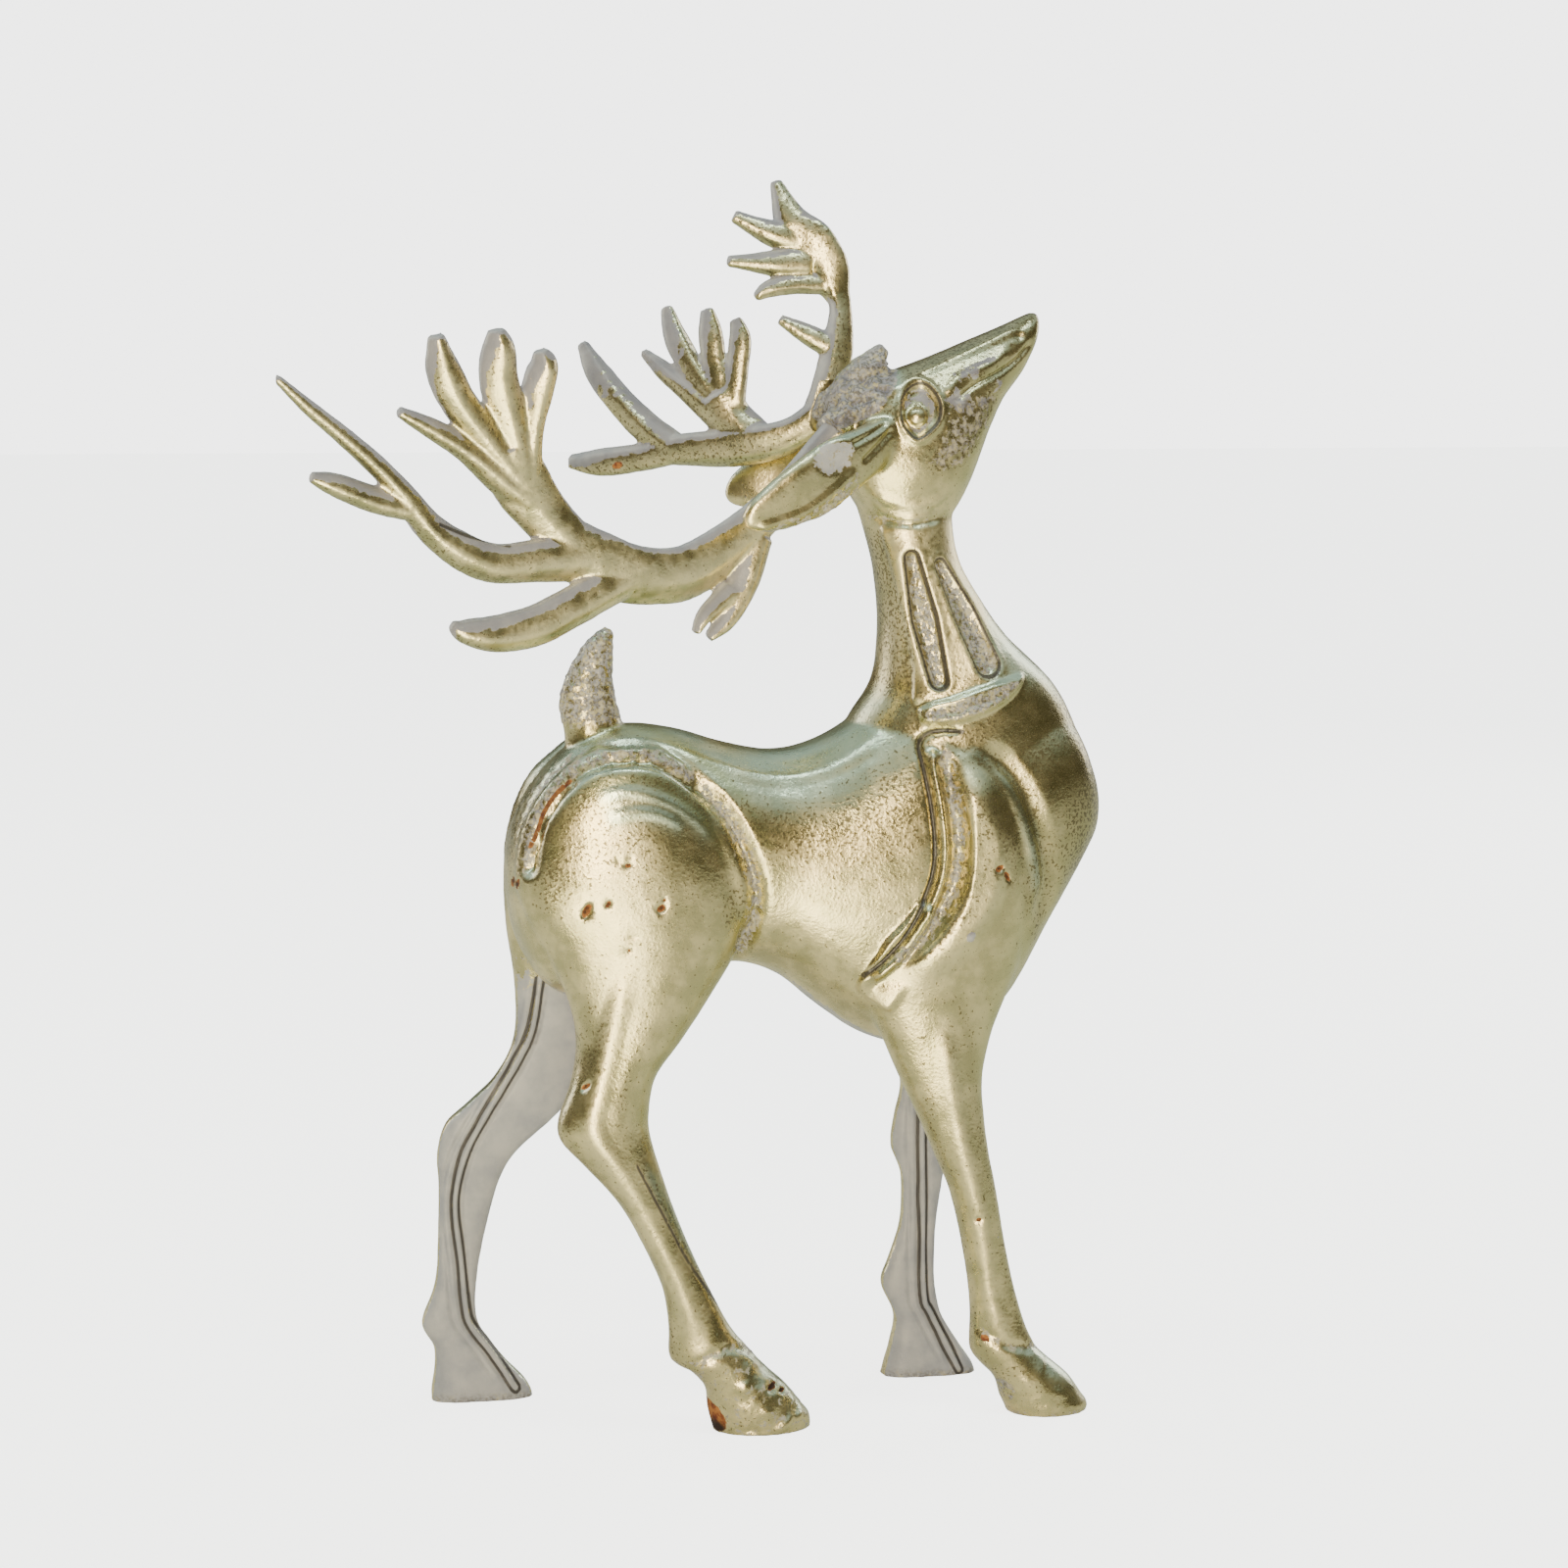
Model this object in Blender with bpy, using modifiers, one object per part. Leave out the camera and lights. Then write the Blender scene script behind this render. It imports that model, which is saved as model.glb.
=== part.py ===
"""Standing reindeer figurine: a moulded body with two separately moulded antlers.

The figure faces +X, its left side is at +Y, and its hooves stand on z = 0.
Its pose and carving are given in figure units, of which there are UNITS_TALL in
its height, so that every form follows HEIGHT.
"""

import math

import bmesh
import bpy
import numpy as np
from mathutils import Vector

# Driving sizes, in metres
HEIGHT = 0.198
ANTLER_GAP = 0.0003
SEAT_RADIUS = 0.0045

# One figure unit: a millimetre on a figure 198 mm tall
UNITS_TALL = 198.0
UNIT = HEIGHT / UNITS_TALL

# Fineness of the solids
RING_SIDES = 28
SEAT_SIDES = 24
BODY_VOXEL = 0.7 * UNIT
ANTLER_VOXEL = 0.6 * UNIT
BODY_FACES = 6350
ANTLER_FACES = 1600
BODY_PASSES = 4
ANTLER_PASSES = 2

# Height of the surface under the hooves in the figure's own drawing
SOLE_LEVEL = 0.8

# How square a section is: 2 is an ellipse, more is boxier, less is ridged
ROUND = 2.0
RIDGED = 1.7
TRUNK_SQUARE = 2.25
INNER_SQUARE = 3.2
BACK_SQUARE = 3.0

# Trunk, cut across its length: place, underside, back line, half width
TRUNK = (
    (-44.8, 86.0, 92.0, 3.0),
    (-43.7, 80.0, 97.0, 8.0),
    (-41.4, 75.0, 101.8, 11.5),
    (-38.0, 71.0, 106.4, 13.6),
    (-33.0, 69.0, 110.6, 15.0),
    (-26.0, 69.0, 112.8, 15.6),
    (-18.0, 71.0, 112.0, 15.4),
    (-10.0, 74.3, 109.6, 14.8),
    (-2.0, 72.3, 108.2, 14.8),
    (5.0, 66.8, 109.6, 15.6),
    (12.0, 62.0, 113.5, 16.4),
    (19.0, 60.0, 118.0, 16.8),
    (27.0, 61.0, 120.0, 16.6),
    (35.0, 66.0, 119.0, 15.8),
    (42.0, 78.0, 116.5, 13.6),
    (47.3, 87.0, 111.5, 10.2),
    (50.4, 92.5, 104.5, 6.2),
    (51.6, 96.0, 99.5, 2.4),
)

# Neck, cut level: height, nape, throat, half width
NECK = (
    (104.0, 8.0, 50.0, 14.5),
    (112.0, 10.0, 47.5, 13.8),
    (118.8, 14.2, 43.6, 12.8),
    (126.0, 15.3, 36.2, 11.0),
    (132.0, 15.2, 31.8, 9.8),
    (138.0, 14.4, 28.4, 8.8),
    (144.0, 12.8, 27.2, 8.3),
    (150.0, 11.0, 27.4, 8.2),
    (156.0, 10.0, 27.0, 7.8),
)

# Head, cut across its length: place, jaw line, brow line, half width
HEAD = (
    (6.8, 158.0, 164.0, 3.0),
    (8.6, 153.5, 166.8, 6.0),
    (12.0, 146.8, 168.0, 8.6),
    (16.6, 143.3, 168.3, 9.9),
    (21.0, 142.8, 169.6, 10.2),
    (25.6, 144.0, 171.4, 9.6),
    (29.2, 149.4, 172.9, 8.4),
    (32.4, 157.6, 174.2, 6.8),
    (35.0, 163.2, 175.3, 5.6),
    (38.2, 167.6, 176.7, 4.5),
    (40.2, 171.4, 177.5, 3.4),
    (41.2, 174.0, 177.2, 1.8),
)

# Legs, cut level: height, rear edge, front edge, inner side, outer side
HIND_RIGHT = (
    (110.0, -31.5, -22.0, 6.0, 12.5),
    (107.0, -36.5, -17.0, 5.0, 15.2),
    (102.0, -41.0, -12.4, 4.0, 16.6),
    (96.0, -43.6, -8.8, 3.0, 17.4),
    (89.0, -44.4, -6.8, 3.0, 17.8),
    (82.0, -42.0, -7.6, 3.0, 17.6),
    (76.6, -39.0, -10.0, 4.0, 17.2),
    (70.0, -36.2, -14.2, 5.2, 16.8),
    (64.0, -35.2, -18.4, 6.4, 16.6),
    (58.0, -36.0, -22.8, 7.4, 16.6),
    (52.0, -38.2, -24.0, 8.2, 16.8),
    (48.6, -38.0, -23.7, 8.8, 16.8),
    (44.5, -34.4, -22.6, 9.4, 16.6),
    (38.0, -28.8, -20.5, 9.8, 16.2),
    (31.0, -25.0, -17.8, 10.0, 16.0),
    (24.0, -22.0, -14.6, 10.0, 16.0),
    (17.5, -21.0, -11.2, 9.8, 16.4),
    (12.8, -20.8, -7.4, 9.4, 17.0),
    (10.4, -17.4, -5.2, 9.2, 17.2),
    (7.6, -15.2, -2.2, 8.8, 17.8),
    (4.2, -14.8, 0.4, 8.4, 18.2),
    (1.8, -14.2, 1.8, 8.6, 18.0),
    (-4.0, -12.6, 0.4, 9.2, 17.4),
)

HIND_LEFT = (
    (110.0, -33.5, -24.0, 6.0, 12.5),
    (104.0, -40.0, -14.0, 4.0, 16.0),
    (96.0, -43.4, -9.5, 3.0, 17.4),
    (89.0, -44.2, -8.5, 3.0, 17.8),
    (80.0, -44.0, -11.0, 3.5, 17.4),
    (70.4, -42.6, -19.0, 5.2, 16.8),
    (61.0, -42.6, -25.6, 7.0, 16.6),
    (54.5, -45.6, -30.0, 8.0, 16.8),
    (50.0, -50.2, -33.4, 8.6, 16.8),
    (46.5, -53.9, -36.8, 9.0, 16.8),
    (41.5, -55.2, -42.4, 9.6, 16.4),
    (36.6, -55.0, -45.2, 9.8, 16.2),
    (28.0, -55.2, -47.6, 10.0, 16.0),
    (20.0, -55.8, -49.0, 10.0, 16.0),
    (13.6, -58.0, -48.9, 9.8, 16.6),
    (9.8, -56.2, -46.6, 9.4, 17.0),
    (6.4, -56.0, -44.0, 9.0, 17.4),
    (2.2, -56.6, -40.4, 8.6, 18.0),
    (-4.0, -56.8, -39.0, 8.6, 18.0),
)

FORE_RIGHT = (
    (111.0, 20.0, 26.5, 6.0, 13.0),
    (104.0, 20.8, 33.0, 5.0, 16.8),
    (97.0, 21.2, 36.6, 4.0, 18.0),
    (90.0, 20.8, 38.0, 4.0, 18.2),
    (84.0, 18.6, 38.2, 4.0, 18.0),
    (78.0, 14.2, 37.2, 4.4, 17.6),
    (73.0, 10.4, 35.8, 5.0, 17.0),
    (68.5, 11.0, 34.0, 5.6, 16.2),
    (63.0, 13.8, 31.8, 6.4, 15.8),
    (56.0, 16.8, 30.2, 7.6, 15.6),
    (50.0, 19.6, 30.4, 8.4, 15.4),
    (44.0, 22.2, 31.1, 8.8, 15.4),
    (37.0, 25.0, 32.5, 9.2, 15.2),
    (27.0, 27.2, 34.2, 9.6, 15.0),
    (18.0, 28.3, 36.4, 9.6, 15.2),
    (12.0, 28.2, 38.8, 9.2, 15.8),
    (9.4, 29.6, 41.2, 8.8, 16.2),
    (6.4, 32.4, 44.6, 8.4, 16.8),
    (3.2, 33.4, 46.8, 8.2, 17.2),
    (1.2, 34.4, 47.8, 8.2, 17.2),
    (-4.0, 36.4, 46.0, 8.8, 16.6),
)

FORE_LEFT = (
    (108.0, 20.0, 28.5, 6.0, 13.0),
    (97.0, 20.0, 36.4, 4.0, 18.0),
    (88.0, 18.0, 38.0, 4.0, 18.2),
    (78.0, 14.0, 35.6, 4.4, 17.4),
    (68.0, 15.5, 33.4, 5.6, 16.2),
    (58.0, 19.6, 31.6, 7.4, 15.6),
    (51.0, 21.9, 31.0, 8.4, 15.4),
    (45.0, 20.9, 30.8, 8.8, 15.4),
    (40.0, 20.3, 30.2, 9.0, 15.4),
    (35.0, 22.1, 29.3, 9.2, 15.2),
    (27.0, 22.0, 28.2, 9.6, 15.0),
    (20.5, 20.0, 27.9, 9.6, 15.2),
    (16.4, 18.8, 28.0, 9.4, 15.8),
    (11.0, 21.0, 29.0, 9.2, 15.8),
    (5.8, 20.2, 32.0, 8.6, 16.6),
    (1.4, 19.0, 34.8, 8.2, 17.2),
    (-4.0, 18.6, 35.6, 8.2, 17.2),
)

# Leaves of the body, along the middle: x, y outward, z, half width, half thickness
EAR = (
    (15.0, 7.4, 158.2, 3.2, 2.4),
    (11.0, 10.4, 155.8, 4.0, 2.2),
    (6.0, 13.2, 153.2, 5.0, 2.0),
    (1.0, 15.0, 150.2, 5.0, 1.8),
    (-4.0, 15.8, 147.6, 4.0, 1.7),
    (-7.6, 16.6, 146.0, 2.6, 1.4),
    (-9.4, 17.0, 145.2, 1.0, 0.9),
)
# The left ear is held wider and a little further forward at its tip
LEFT_EAR_SPREAD = 1.18
LEFT_EAR_SHIFT = (3.8, 3.2)

TAIL = (
    (-30.6, 0.0, 107.0, 4.6, 4.4),
    (-30.8, 0.0, 112.0, 4.6, 3.6),
    (-31.6, 0.0, 117.0, 4.5, 3.0),
    (-30.8, 0.0, 121.6, 3.4, 2.6),
    (-29.4, 0.0, 125.4, 2.2, 2.0),
    (-28.2, 0.0, 128.0, 0.8, 1.0),
)

# Antler seats on the crown: a flat round face and the way it looks
SEAT_RIGHT = (6.8, -5.2, 158.4)
SEAT_RIGHT_WAY = (-0.70, -0.34, -0.63)
SEAT_LEFT = (8.4, 6.8, 162.4)
SEAT_LEFT_WAY = (-0.52, 0.85, 0.08)
PEDICLE_RADIUS = 3.1
PEDICLE_DEPTH = 5.0
PEDICLE_SPARE = 1.2

# Ridge of hair on the crown, in front of the antlers
FORELOCK = (
    (10.6, 0.0, 165.0, 3.2, 4.2),
    (13.2, 0.0, 168.0, 2.8, 3.6),
    (15.2, 0.0, 169.8, 2.1, 2.6),
    (16.4, 0.0, 170.7, 1.2, 1.6),
)

# Antler prongs, along the middle: x, z, half width in the antler's own sheet
ANTLER_RIGHT = {
    "beam": ((9.0, 160.4, 2.5), (5.6, 156.4, 2.6), (-0.6, 149.2, 3.0), (-8.0, 142.6, 4.1),
             (-16.0, 137.6, 4.9), (-21.5, 136.6, 4.8), (-27.5, 137.3, 4.9),
             (-33.0, 139.6, 5.0), (-37.0, 142.8, 3.8)),
    "root_tine": ((-5.6, 142.5, 3.0), (-7.8, 135.2, 2.6), (-10.7, 129.8, 1.8), (-13.8, 126.9, 0.8)),
    "root_lobe": ((-10.0, 134.2, 1.7), (-14.2, 130.6, 1.3), (-16.0, 127.8, 0.7)),
    "low_prong": ((-27.5, 136.6, 3.5), (-35.6, 132.6, 3.5), (-41.8, 129.8, 3.5),
                  (-48.0, 128.8, 3.0), (-53.0, 129.4, 1.9), (-55.2, 130.5, 0.8)),
    "long_prong": ((-33.5, 140.0, 4.2), (-41.5, 139.6, 3.5), (-48.5, 139.4, 3.1),
                   (-54.0, 141.8, 2.8), (-58.4, 145.2, 2.3), (-62.0, 149.7, 1.9),
                   (-65.8, 153.9, 1.6), (-70.8, 158.4, 1.4), (-76.6, 163.2, 1.1),
                   (-81.2, 167.4, 0.6)),
    "side_fork": ((-61.8, 148.0, 1.9), (-67.0, 149.5, 2.0), (-72.8, 151.8, 1.7), (-76.2, 153.0, 0.8)),
    "palm": ((-36.0, 142.0, 3.6), (-40.8, 147.0, 4.0), (-44.6, 152.2, 4.6), (-46.2, 157.0, 3.8)),
    "fan_1": ((-43.2, 149.1, 2.3), (-47.4, 152.3, 2.6), (-52.6, 156.4, 1.9),
              (-57.8, 159.6, 1.6), (-63.2, 162.4, 0.8)),
    "fan_2": ((-44.8, 152.1, 2.3), (-49.6, 158.0, 2.6), (-54.0, 163.6, 2.7),
              (-56.4, 168.4, 2.6), (-57.6, 173.4, 1.2)),
    "fan_3": ((-44.2, 153.5, 2.6), (-46.4, 161.0, 2.9), (-47.9, 167.0, 3.0),
              (-48.0, 171.4, 2.6), (-48.4, 174.3, 1.3)),
    "fan_4": ((-43.2, 152.0, 2.1), (-42.8, 159.4, 2.0), (-41.9, 165.0, 2.5),
              (-41.0, 168.8, 2.3), (-41.6, 171.3, 1.1)),
}

ANTLER_LEFT = {
    "beam": ((10.0, 163.0, 2.6), (7.6, 161.2, 2.8), (4.0, 158.4, 2.9), (0.0, 156.6, 3.4),
             (-5.7, 155.5, 3.5), (-12.3, 155.2, 3.0), (-17.5, 154.9, 2.3)),
    "back_prong": ((-13.8, 155.5, 2.2), (-18.2, 158.6, 2.6), (-22.3, 163.2, 2.4),
                   (-25.5, 168.0, 2.1), (-27.6, 172.6, 1.0)),
    "low_prong": ((-15.2, 154.8, 2.3), (-20.4, 153.6, 2.4), (-25.4, 152.9, 2.3), (-29.8, 153.1, 1.1)),
    "palm": ((-2.6, 157.2, 3.4), (-5.6, 160.4, 3.4), (-7.6, 164.4, 3.2)),
    "fan_1": ((-7.8, 160.4, 2.2), (-12.0, 164.6, 1.9), (-15.6, 168.0, 1.6), (-18.7, 171.2, 0.8)),
    "fan_2": ((-7.4, 162.0, 1.9), (-11.0, 167.6, 2.0), (-13.6, 173.2, 2.0), (-15.0, 178.5, 1.0)),
    "fan_3": ((-6.8, 162.8, 1.9), (-8.0, 168.4, 1.9), (-8.5, 174.0, 2.0), (-9.0, 178.1, 1.1)),
    "fan_4": ((-5.6, 162.8, 2.0), (-4.8, 168.4, 1.8), (-4.2, 173.2, 1.8), (-4.8, 176.5, 1.0)),
}

BROW_PALM = {
    "shaft": ((7.0, 161.6, 2.6), (8.2, 165.0, 2.6), (9.8, 169.6, 2.7), (10.8, 174.2, 2.3),
              (11.2, 178.8, 1.8), (10.2, 183.0, 2.3)),
    "side_tine": ((10.4, 171.4, 1.9), (5.8, 173.8, 1.7), (1.2, 176.4, 0.8)),
    "palm": ((11.0, 179.6, 1.8), (9.4, 184.4, 3.8), (6.2, 188.4, 4.8), (3.6, 192.8, 2.8),
             (1.8, 198.6, 0.9)),
    "prong_1": ((10.0, 181.8, 1.6), (4.2, 182.0, 1.7), (-0.2, 181.2, 1.4), (-2.4, 179.9, 0.7)),
    "prong_2": ((6.5, 185.2, 2.5), (1.6, 185.2, 2.2), (-3.2, 185.4, 1.4), (-6.8, 185.6, 0.9)),
    "prong_3": ((5.2, 189.0, 2.5), (1.2, 189.9, 2.2), (-2.0, 191.2, 1.6), (-5.4, 192.9, 1.0)),
}

# Carving of both flanks, seen square from the side: paths of x, z
THIGH_CREASE = ((-43.4, 91.5), (-41.6, 97.5), (-38.6, 103.0), (-34.0, 107.6), (-28.0, 109.6),
                (-22.0, 109.0), (-17.0, 106.4), (-12.2, 101.6), (-8.6, 96.0), (-6.4, 89.5),
                (-6.8, 82.5), (-9.6, 76.5))
SHOULDER_LIP = ((19.8, 110.4), (21.2, 104.0), (22.2, 97.5), (21.8, 89.0), (19.4, 83.0),
                (15.6, 78.0), (10.4, 73.8))
SHOULDER_CHANNEL = ((24.0, 109.0), (25.2, 103.0), (25.6, 96.0), (24.6, 89.0), (21.8, 83.6))
SHOULDER_FRONT = ((27.2, 109.6), (31.6, 105.6), (35.0, 101.0), (38.0, 94.6), (38.8, 86.0),
                  (36.4, 79.0), (33.0, 73.0))
COLLAR_RIDGE = ((19.8, 114.0), (22.6, 114.8), (27.0, 116.0), (31.4, 117.6), (34.2, 118.8))
COLLAR_EDGE = ((20.8, 117.2), (25.0, 118.6), (29.6, 120.2), (33.4, 121.2))
NAPE_EDGE = ((14.6, 146.0), (16.6, 138.0), (18.4, 130.0), (20.0, 121.0))

# Half width and height of each, in figure units
CREASE_HALF = 2.3
CREASE_DEPTH = 1.6
LIP_HALF = 1.5
LIP_HEIGHT = 1.3
CHANNEL_HALF = 2.2
CHANNEL_DEPTH = 1.3
COLLAR_HALF = 2.4
COLLAR_HEIGHT = 1.4
EDGE_HALF = 1.0
EDGE_DEPTH = 0.7

# Two long hollows in each side of the neck: top x, z, foot x, z, half widths at both
NECK_HOLLOWS = ((18.0, 138.0, 24.6, 119.6, 1.2, 2.0), (23.2, 137.6, 32.6, 121.4, 1.2, 2.3))
HOLLOW_DEPTH = 1.4
HOLLOW_WALL = 0.8

# Eye: middle x, z, half length and half height of the socket, the ball's radius
EYE = (20.4, 162.2, 3.4, 4.0)
EYE_DEPTH = 1.0
EYE_BALL = 1.7

# How the antlers spread: half thickness, and the way from the face to the back
PRONG_HALF_THICK = 2.3
PRONG_FLATNESS = 0.92
ANTLER_BACK = Vector((-0.30, 0.86, 0.41))
BROW_BACK = Vector((0.40, 0.86, 0.30))

# Spread of each antler: least way out, x behind which and z above which it goes
# further out, and how much further for each unit of these
RIGHT_SPREAD = {"least": 2.4, "front": 8.0, "lean_back": 0.335, "foot": 145.0, "lean_up": 0.22}
LEFT_SPREAD = {"least": 6.0, "front": 10.0, "lean_back": 0.35, "bow": 0.008, "foot": 165.0, "lean_up": 0.25}
BROW_SPREAD = {"least": 7.0, "foot": 166.0, "lean_up": 0.30}

GOLD = (0.66, 0.60, 0.42, 1.0)
PALE_GOLD = (0.72, 0.66, 0.48, 1.0)
METALLIC = 0.85
FOIL_ROUGHNESS = 0.34


def right_antler_y(x, z):
    """The right antler goes out as it runs back and as it rises."""
    back = max(0.0, RIGHT_SPREAD["front"] - x)
    rise = max(0.0, z - RIGHT_SPREAD["foot"])
    return -(RIGHT_SPREAD["least"] + RIGHT_SPREAD["lean_back"] * back + RIGHT_SPREAD["lean_up"] * rise)


def left_antler_y(x, z):
    """The left antler spreads wider than the right one, in a bow."""
    back = max(0.0, LEFT_SPREAD["front"] - x)
    rise = max(0.0, z - LEFT_SPREAD["foot"])
    out = LEFT_SPREAD["lean_back"] * back + LEFT_SPREAD["bow"] * back ** 2
    return LEFT_SPREAD["least"] + out + LEFT_SPREAD["lean_up"] * rise


def brow_palm_y(x, z):
    """The brow palm stands nearly upright over the forehead."""
    rise = max(0.0, z - BROW_SPREAD["foot"])
    return BROW_SPREAD["least"] + BROW_SPREAD["lean_up"] * rise


def clear_scene():
    """Empties the file, so that the script can be run again."""
    for item in list(bpy.data.objects):
        bpy.data.objects.remove(item, do_unlink=True)


def make_material(name, colour):
    """Metallic foil over plastic."""
    material = bpy.data.materials.new(name)
    material.use_nodes = True
    shader = material.node_tree.nodes["Principled BSDF"]
    shader.inputs["Base Color"].default_value = colour
    shader.inputs["Metallic"].default_value = METALLIC
    shader.inputs["Roughness"].default_value = FOIL_ROUGHNESS
    return material


def refine(rows, per_span):
    """A smooth run of rows through the given ones, by a Catmull-Rom spline."""
    rows = np.array(rows, dtype=float)
    padded = np.vstack((2 * rows[0] - rows[1], rows, 2 * rows[-1] - rows[-2]))
    result = []
    for index in range(1, len(padded) - 2):
        before, start, end, after = padded[index - 1:index + 3]
        for step in range(per_span):
            t = step / per_span
            result.append(0.5 * (2 * start + (end - before) * t
                                 + (2 * before - 5 * start + 4 * end - after) * t ** 2
                                 + (3 * start - before - 3 * end + after) * t ** 3))
    result.append(rows[-1])
    return result


def rounded(angle, power):
    """Cosine and sine of a superellipse of the given power."""
    cosine = math.cos(angle)
    sine = math.sin(angle)
    return (math.copysign(abs(cosine) ** (2 / power), cosine),
            math.copysign(abs(sine) ** (2 / power), sine))


def add_loft(mesh, rings):
    """Joins rings of equal length into one closed skin."""
    base = Vector((0.0, 0.0, SOLE_LEVEL))
    rows = [[mesh.verts.new((Vector(point) - base) * UNIT) for point in ring] for ring in rings]
    for low, high in zip(rows, rows[1:]):
        for side in range(len(low)):
            after = (side + 1) % len(low)
            mesh.faces.new((low[side], low[after], high[after], high[side]))
    mesh.faces.new(rows[0][::-1])
    mesh.faces.new(rows[-1])


def ring_angles():
    """Evenly spaced angles round one section."""
    return [2 * math.pi * side / RING_SIDES for side in range(RING_SIDES)]


def add_upright_slices(mesh, rows):
    """A form cut by planes across the figure's length: x, low, high, half width."""
    rings = []
    for x, low, high, half in refine(rows, 3):
        ring = []
        for angle in ring_angles():
            across, up = rounded(angle, TRUNK_SQUARE)
            ring.append((x, half * across, (low + high) / 2 + (high - low) / 2 * up))
        rings.append(ring)
    add_loft(mesh, rings)


def add_level_slices(mesh, rows):
    """A form cut by level planes: z, rear, front, half width."""
    rings = []
    for z, rear, front, half in refine(rows, 3):
        ring = []
        for angle in ring_angles():
            along, across = rounded(angle, ROUND)
            ring.append(((rear + front) / 2 + (front - rear) / 2 * along, half * across, z))
        rings.append(ring)
    add_loft(mesh, rings)


def add_leg(mesh, rows, side):
    """A leg, rounded outside and flat inside: z, rear, front, inner, outer."""
    rings = []
    for z, rear, front, inner, outer in refine(rows, 3):
        middle = inner + 0.42 * (outer - inner)
        ring = []
        for angle in ring_angles():
            outward = math.sin(angle) > 0
            along, across = rounded(angle, ROUND if outward else INNER_SQUARE)
            reach = outer - middle if outward else middle - inner
            ring.append(((rear + front) / 2 + (front - rear) / 2 * along,
                         side * (middle + reach * across), z))
        rings.append(ring)
    add_loft(mesh, rings)


def add_blade(mesh, rows, depth, face_power=ROUND, back_power=ROUND):
    """A leaf or prong along its middle: x, y, z, half width, half thickness."""
    rows = refine(rows, 4)
    points = [Vector(row[:3]) for row in rows]
    rings = []
    for index, row in enumerate(rows):
        ahead = points[min(index + 1, len(points) - 1)]
        behind = points[max(index - 1, 0)]
        tangent = (ahead - behind).normalized()
        thick_way = (depth - depth.dot(tangent) * tangent).normalized()
        wide_way = thick_way.cross(tangent)
        ring = []
        for angle in ring_angles():
            power = back_power if math.sin(angle) > 0 else face_power
            across, through = rounded(angle, power)
            ring.append(points[index] + wide_way * (row[3] * across) + thick_way * (row[4] * through))
        rings.append(ring)
    add_loft(mesh, rings)


def add_prongs(mesh, prongs, place_y, depth):
    """All prongs of one antler, laid on its own curved sheet."""
    for rows in prongs.values():
        blade = []
        for x, z, half in rows:
            thick = min(PRONG_HALF_THICK, PRONG_FLATNESS * half + 0.25)
            blade.append((x, place_y(x, z), z, half, thick))
        add_blade(mesh, blade, depth, RIDGED, BACK_SQUARE)


def path_distance(points, path):
    """Distance of every x, z point from a path."""
    best = np.full(len(points), np.inf)
    for start, end in zip(path, path[1:]):
        start = np.array(start)
        way = np.array(end) - start
        share = np.clip((points - start) @ way / (way @ way), 0.0, 1.0)
        gap = points - start - share[:, None] * way
        best = np.minimum(best, np.hypot(gap[:, 0], gap[:, 1]))
    return best


def swell(points, path, half, height):
    """A rounded ridge along a path, or a furrow where the height is negative."""
    path = [tuple(point) for point in refine(path, 4)]
    share = np.clip(1.0 - path_distance(points, path) / half, 0.0, 1.0)
    return height * share * share * (3 - 2 * share)


def hollow(points, shape):
    """A long drop-shaped hollow with steep walls."""
    top = np.array(shape[0:2])
    way = np.array(shape[2:4]) - top
    share = np.clip((points - top) @ way / (way @ way), 0.0, 1.0)
    gap = points - top - share[:, None] * way
    radius = shape[4] + (shape[5] - shape[4]) * share
    inside = (radius - np.hypot(gap[:, 0], gap[:, 1])) / HOLLOW_WALL
    return -HOLLOW_DEPTH * np.clip(inside + 0.5, 0.0, 1.0)


def eye_form(points):
    """A socket with the eyeball left standing in it."""
    x, z, half_long, half_high = EYE
    reach = np.hypot((points[:, 0] - x) / half_long, (points[:, 1] - z) / half_high)
    socket = -EYE_DEPTH * np.clip(2.5 * (1.0 - reach), 0.0, 1.0)
    away = np.hypot(points[:, 0] - x, points[:, 1] - z)
    ball = EYE_DEPTH * np.sqrt(np.clip(1.0 - (away / EYE_BALL) ** 2, 0.0, 1.0))
    return socket + ball


def carving(points):
    """Height of the carving over the plain flank, for x, z points."""
    height = swell(points, THIGH_CREASE, CREASE_HALF, -CREASE_DEPTH)
    height += swell(points, SHOULDER_LIP, LIP_HALF, LIP_HEIGHT)
    height += swell(points, SHOULDER_CHANNEL, CHANNEL_HALF, -CHANNEL_DEPTH)
    height += swell(points, SHOULDER_FRONT, CREASE_HALF, -CHANNEL_DEPTH)
    height += swell(points, COLLAR_RIDGE, COLLAR_HALF, COLLAR_HEIGHT)
    height += swell(points, COLLAR_EDGE, EDGE_HALF, -EDGE_DEPTH)
    height += swell(points, NAPE_EDGE, LIP_HALF, EDGE_DEPTH)
    for shape in NECK_HOLLOWS:
        height += hollow(points, shape)
    return height + eye_form(points)


def carve(item):
    """Moves the skin of both flanks by the carving's height."""
    data = item.data
    count = len(data.vertices)
    places = np.empty(count * 3)
    normals = np.empty(count * 3)
    data.vertices.foreach_get("co", places)
    data.vertices.foreach_get("normal", normals)
    places = places.reshape(-1, 3) / UNIT
    normals = normals.reshape(-1, 3)
    side = np.abs(normals[:, 1]) * (places[:, 1] * normals[:, 1] > 0)
    facing = np.clip(2.0 * side - 0.3, 0.0, 1.0)
    drawn = places[:, [0, 2]] + np.array((0.0, SOLE_LEVEL))
    places += normals * (carving(drawn) * facing)[:, None]
    data.vertices.foreach_set("co", (places * UNIT).ravel())
    data.update()


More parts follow.
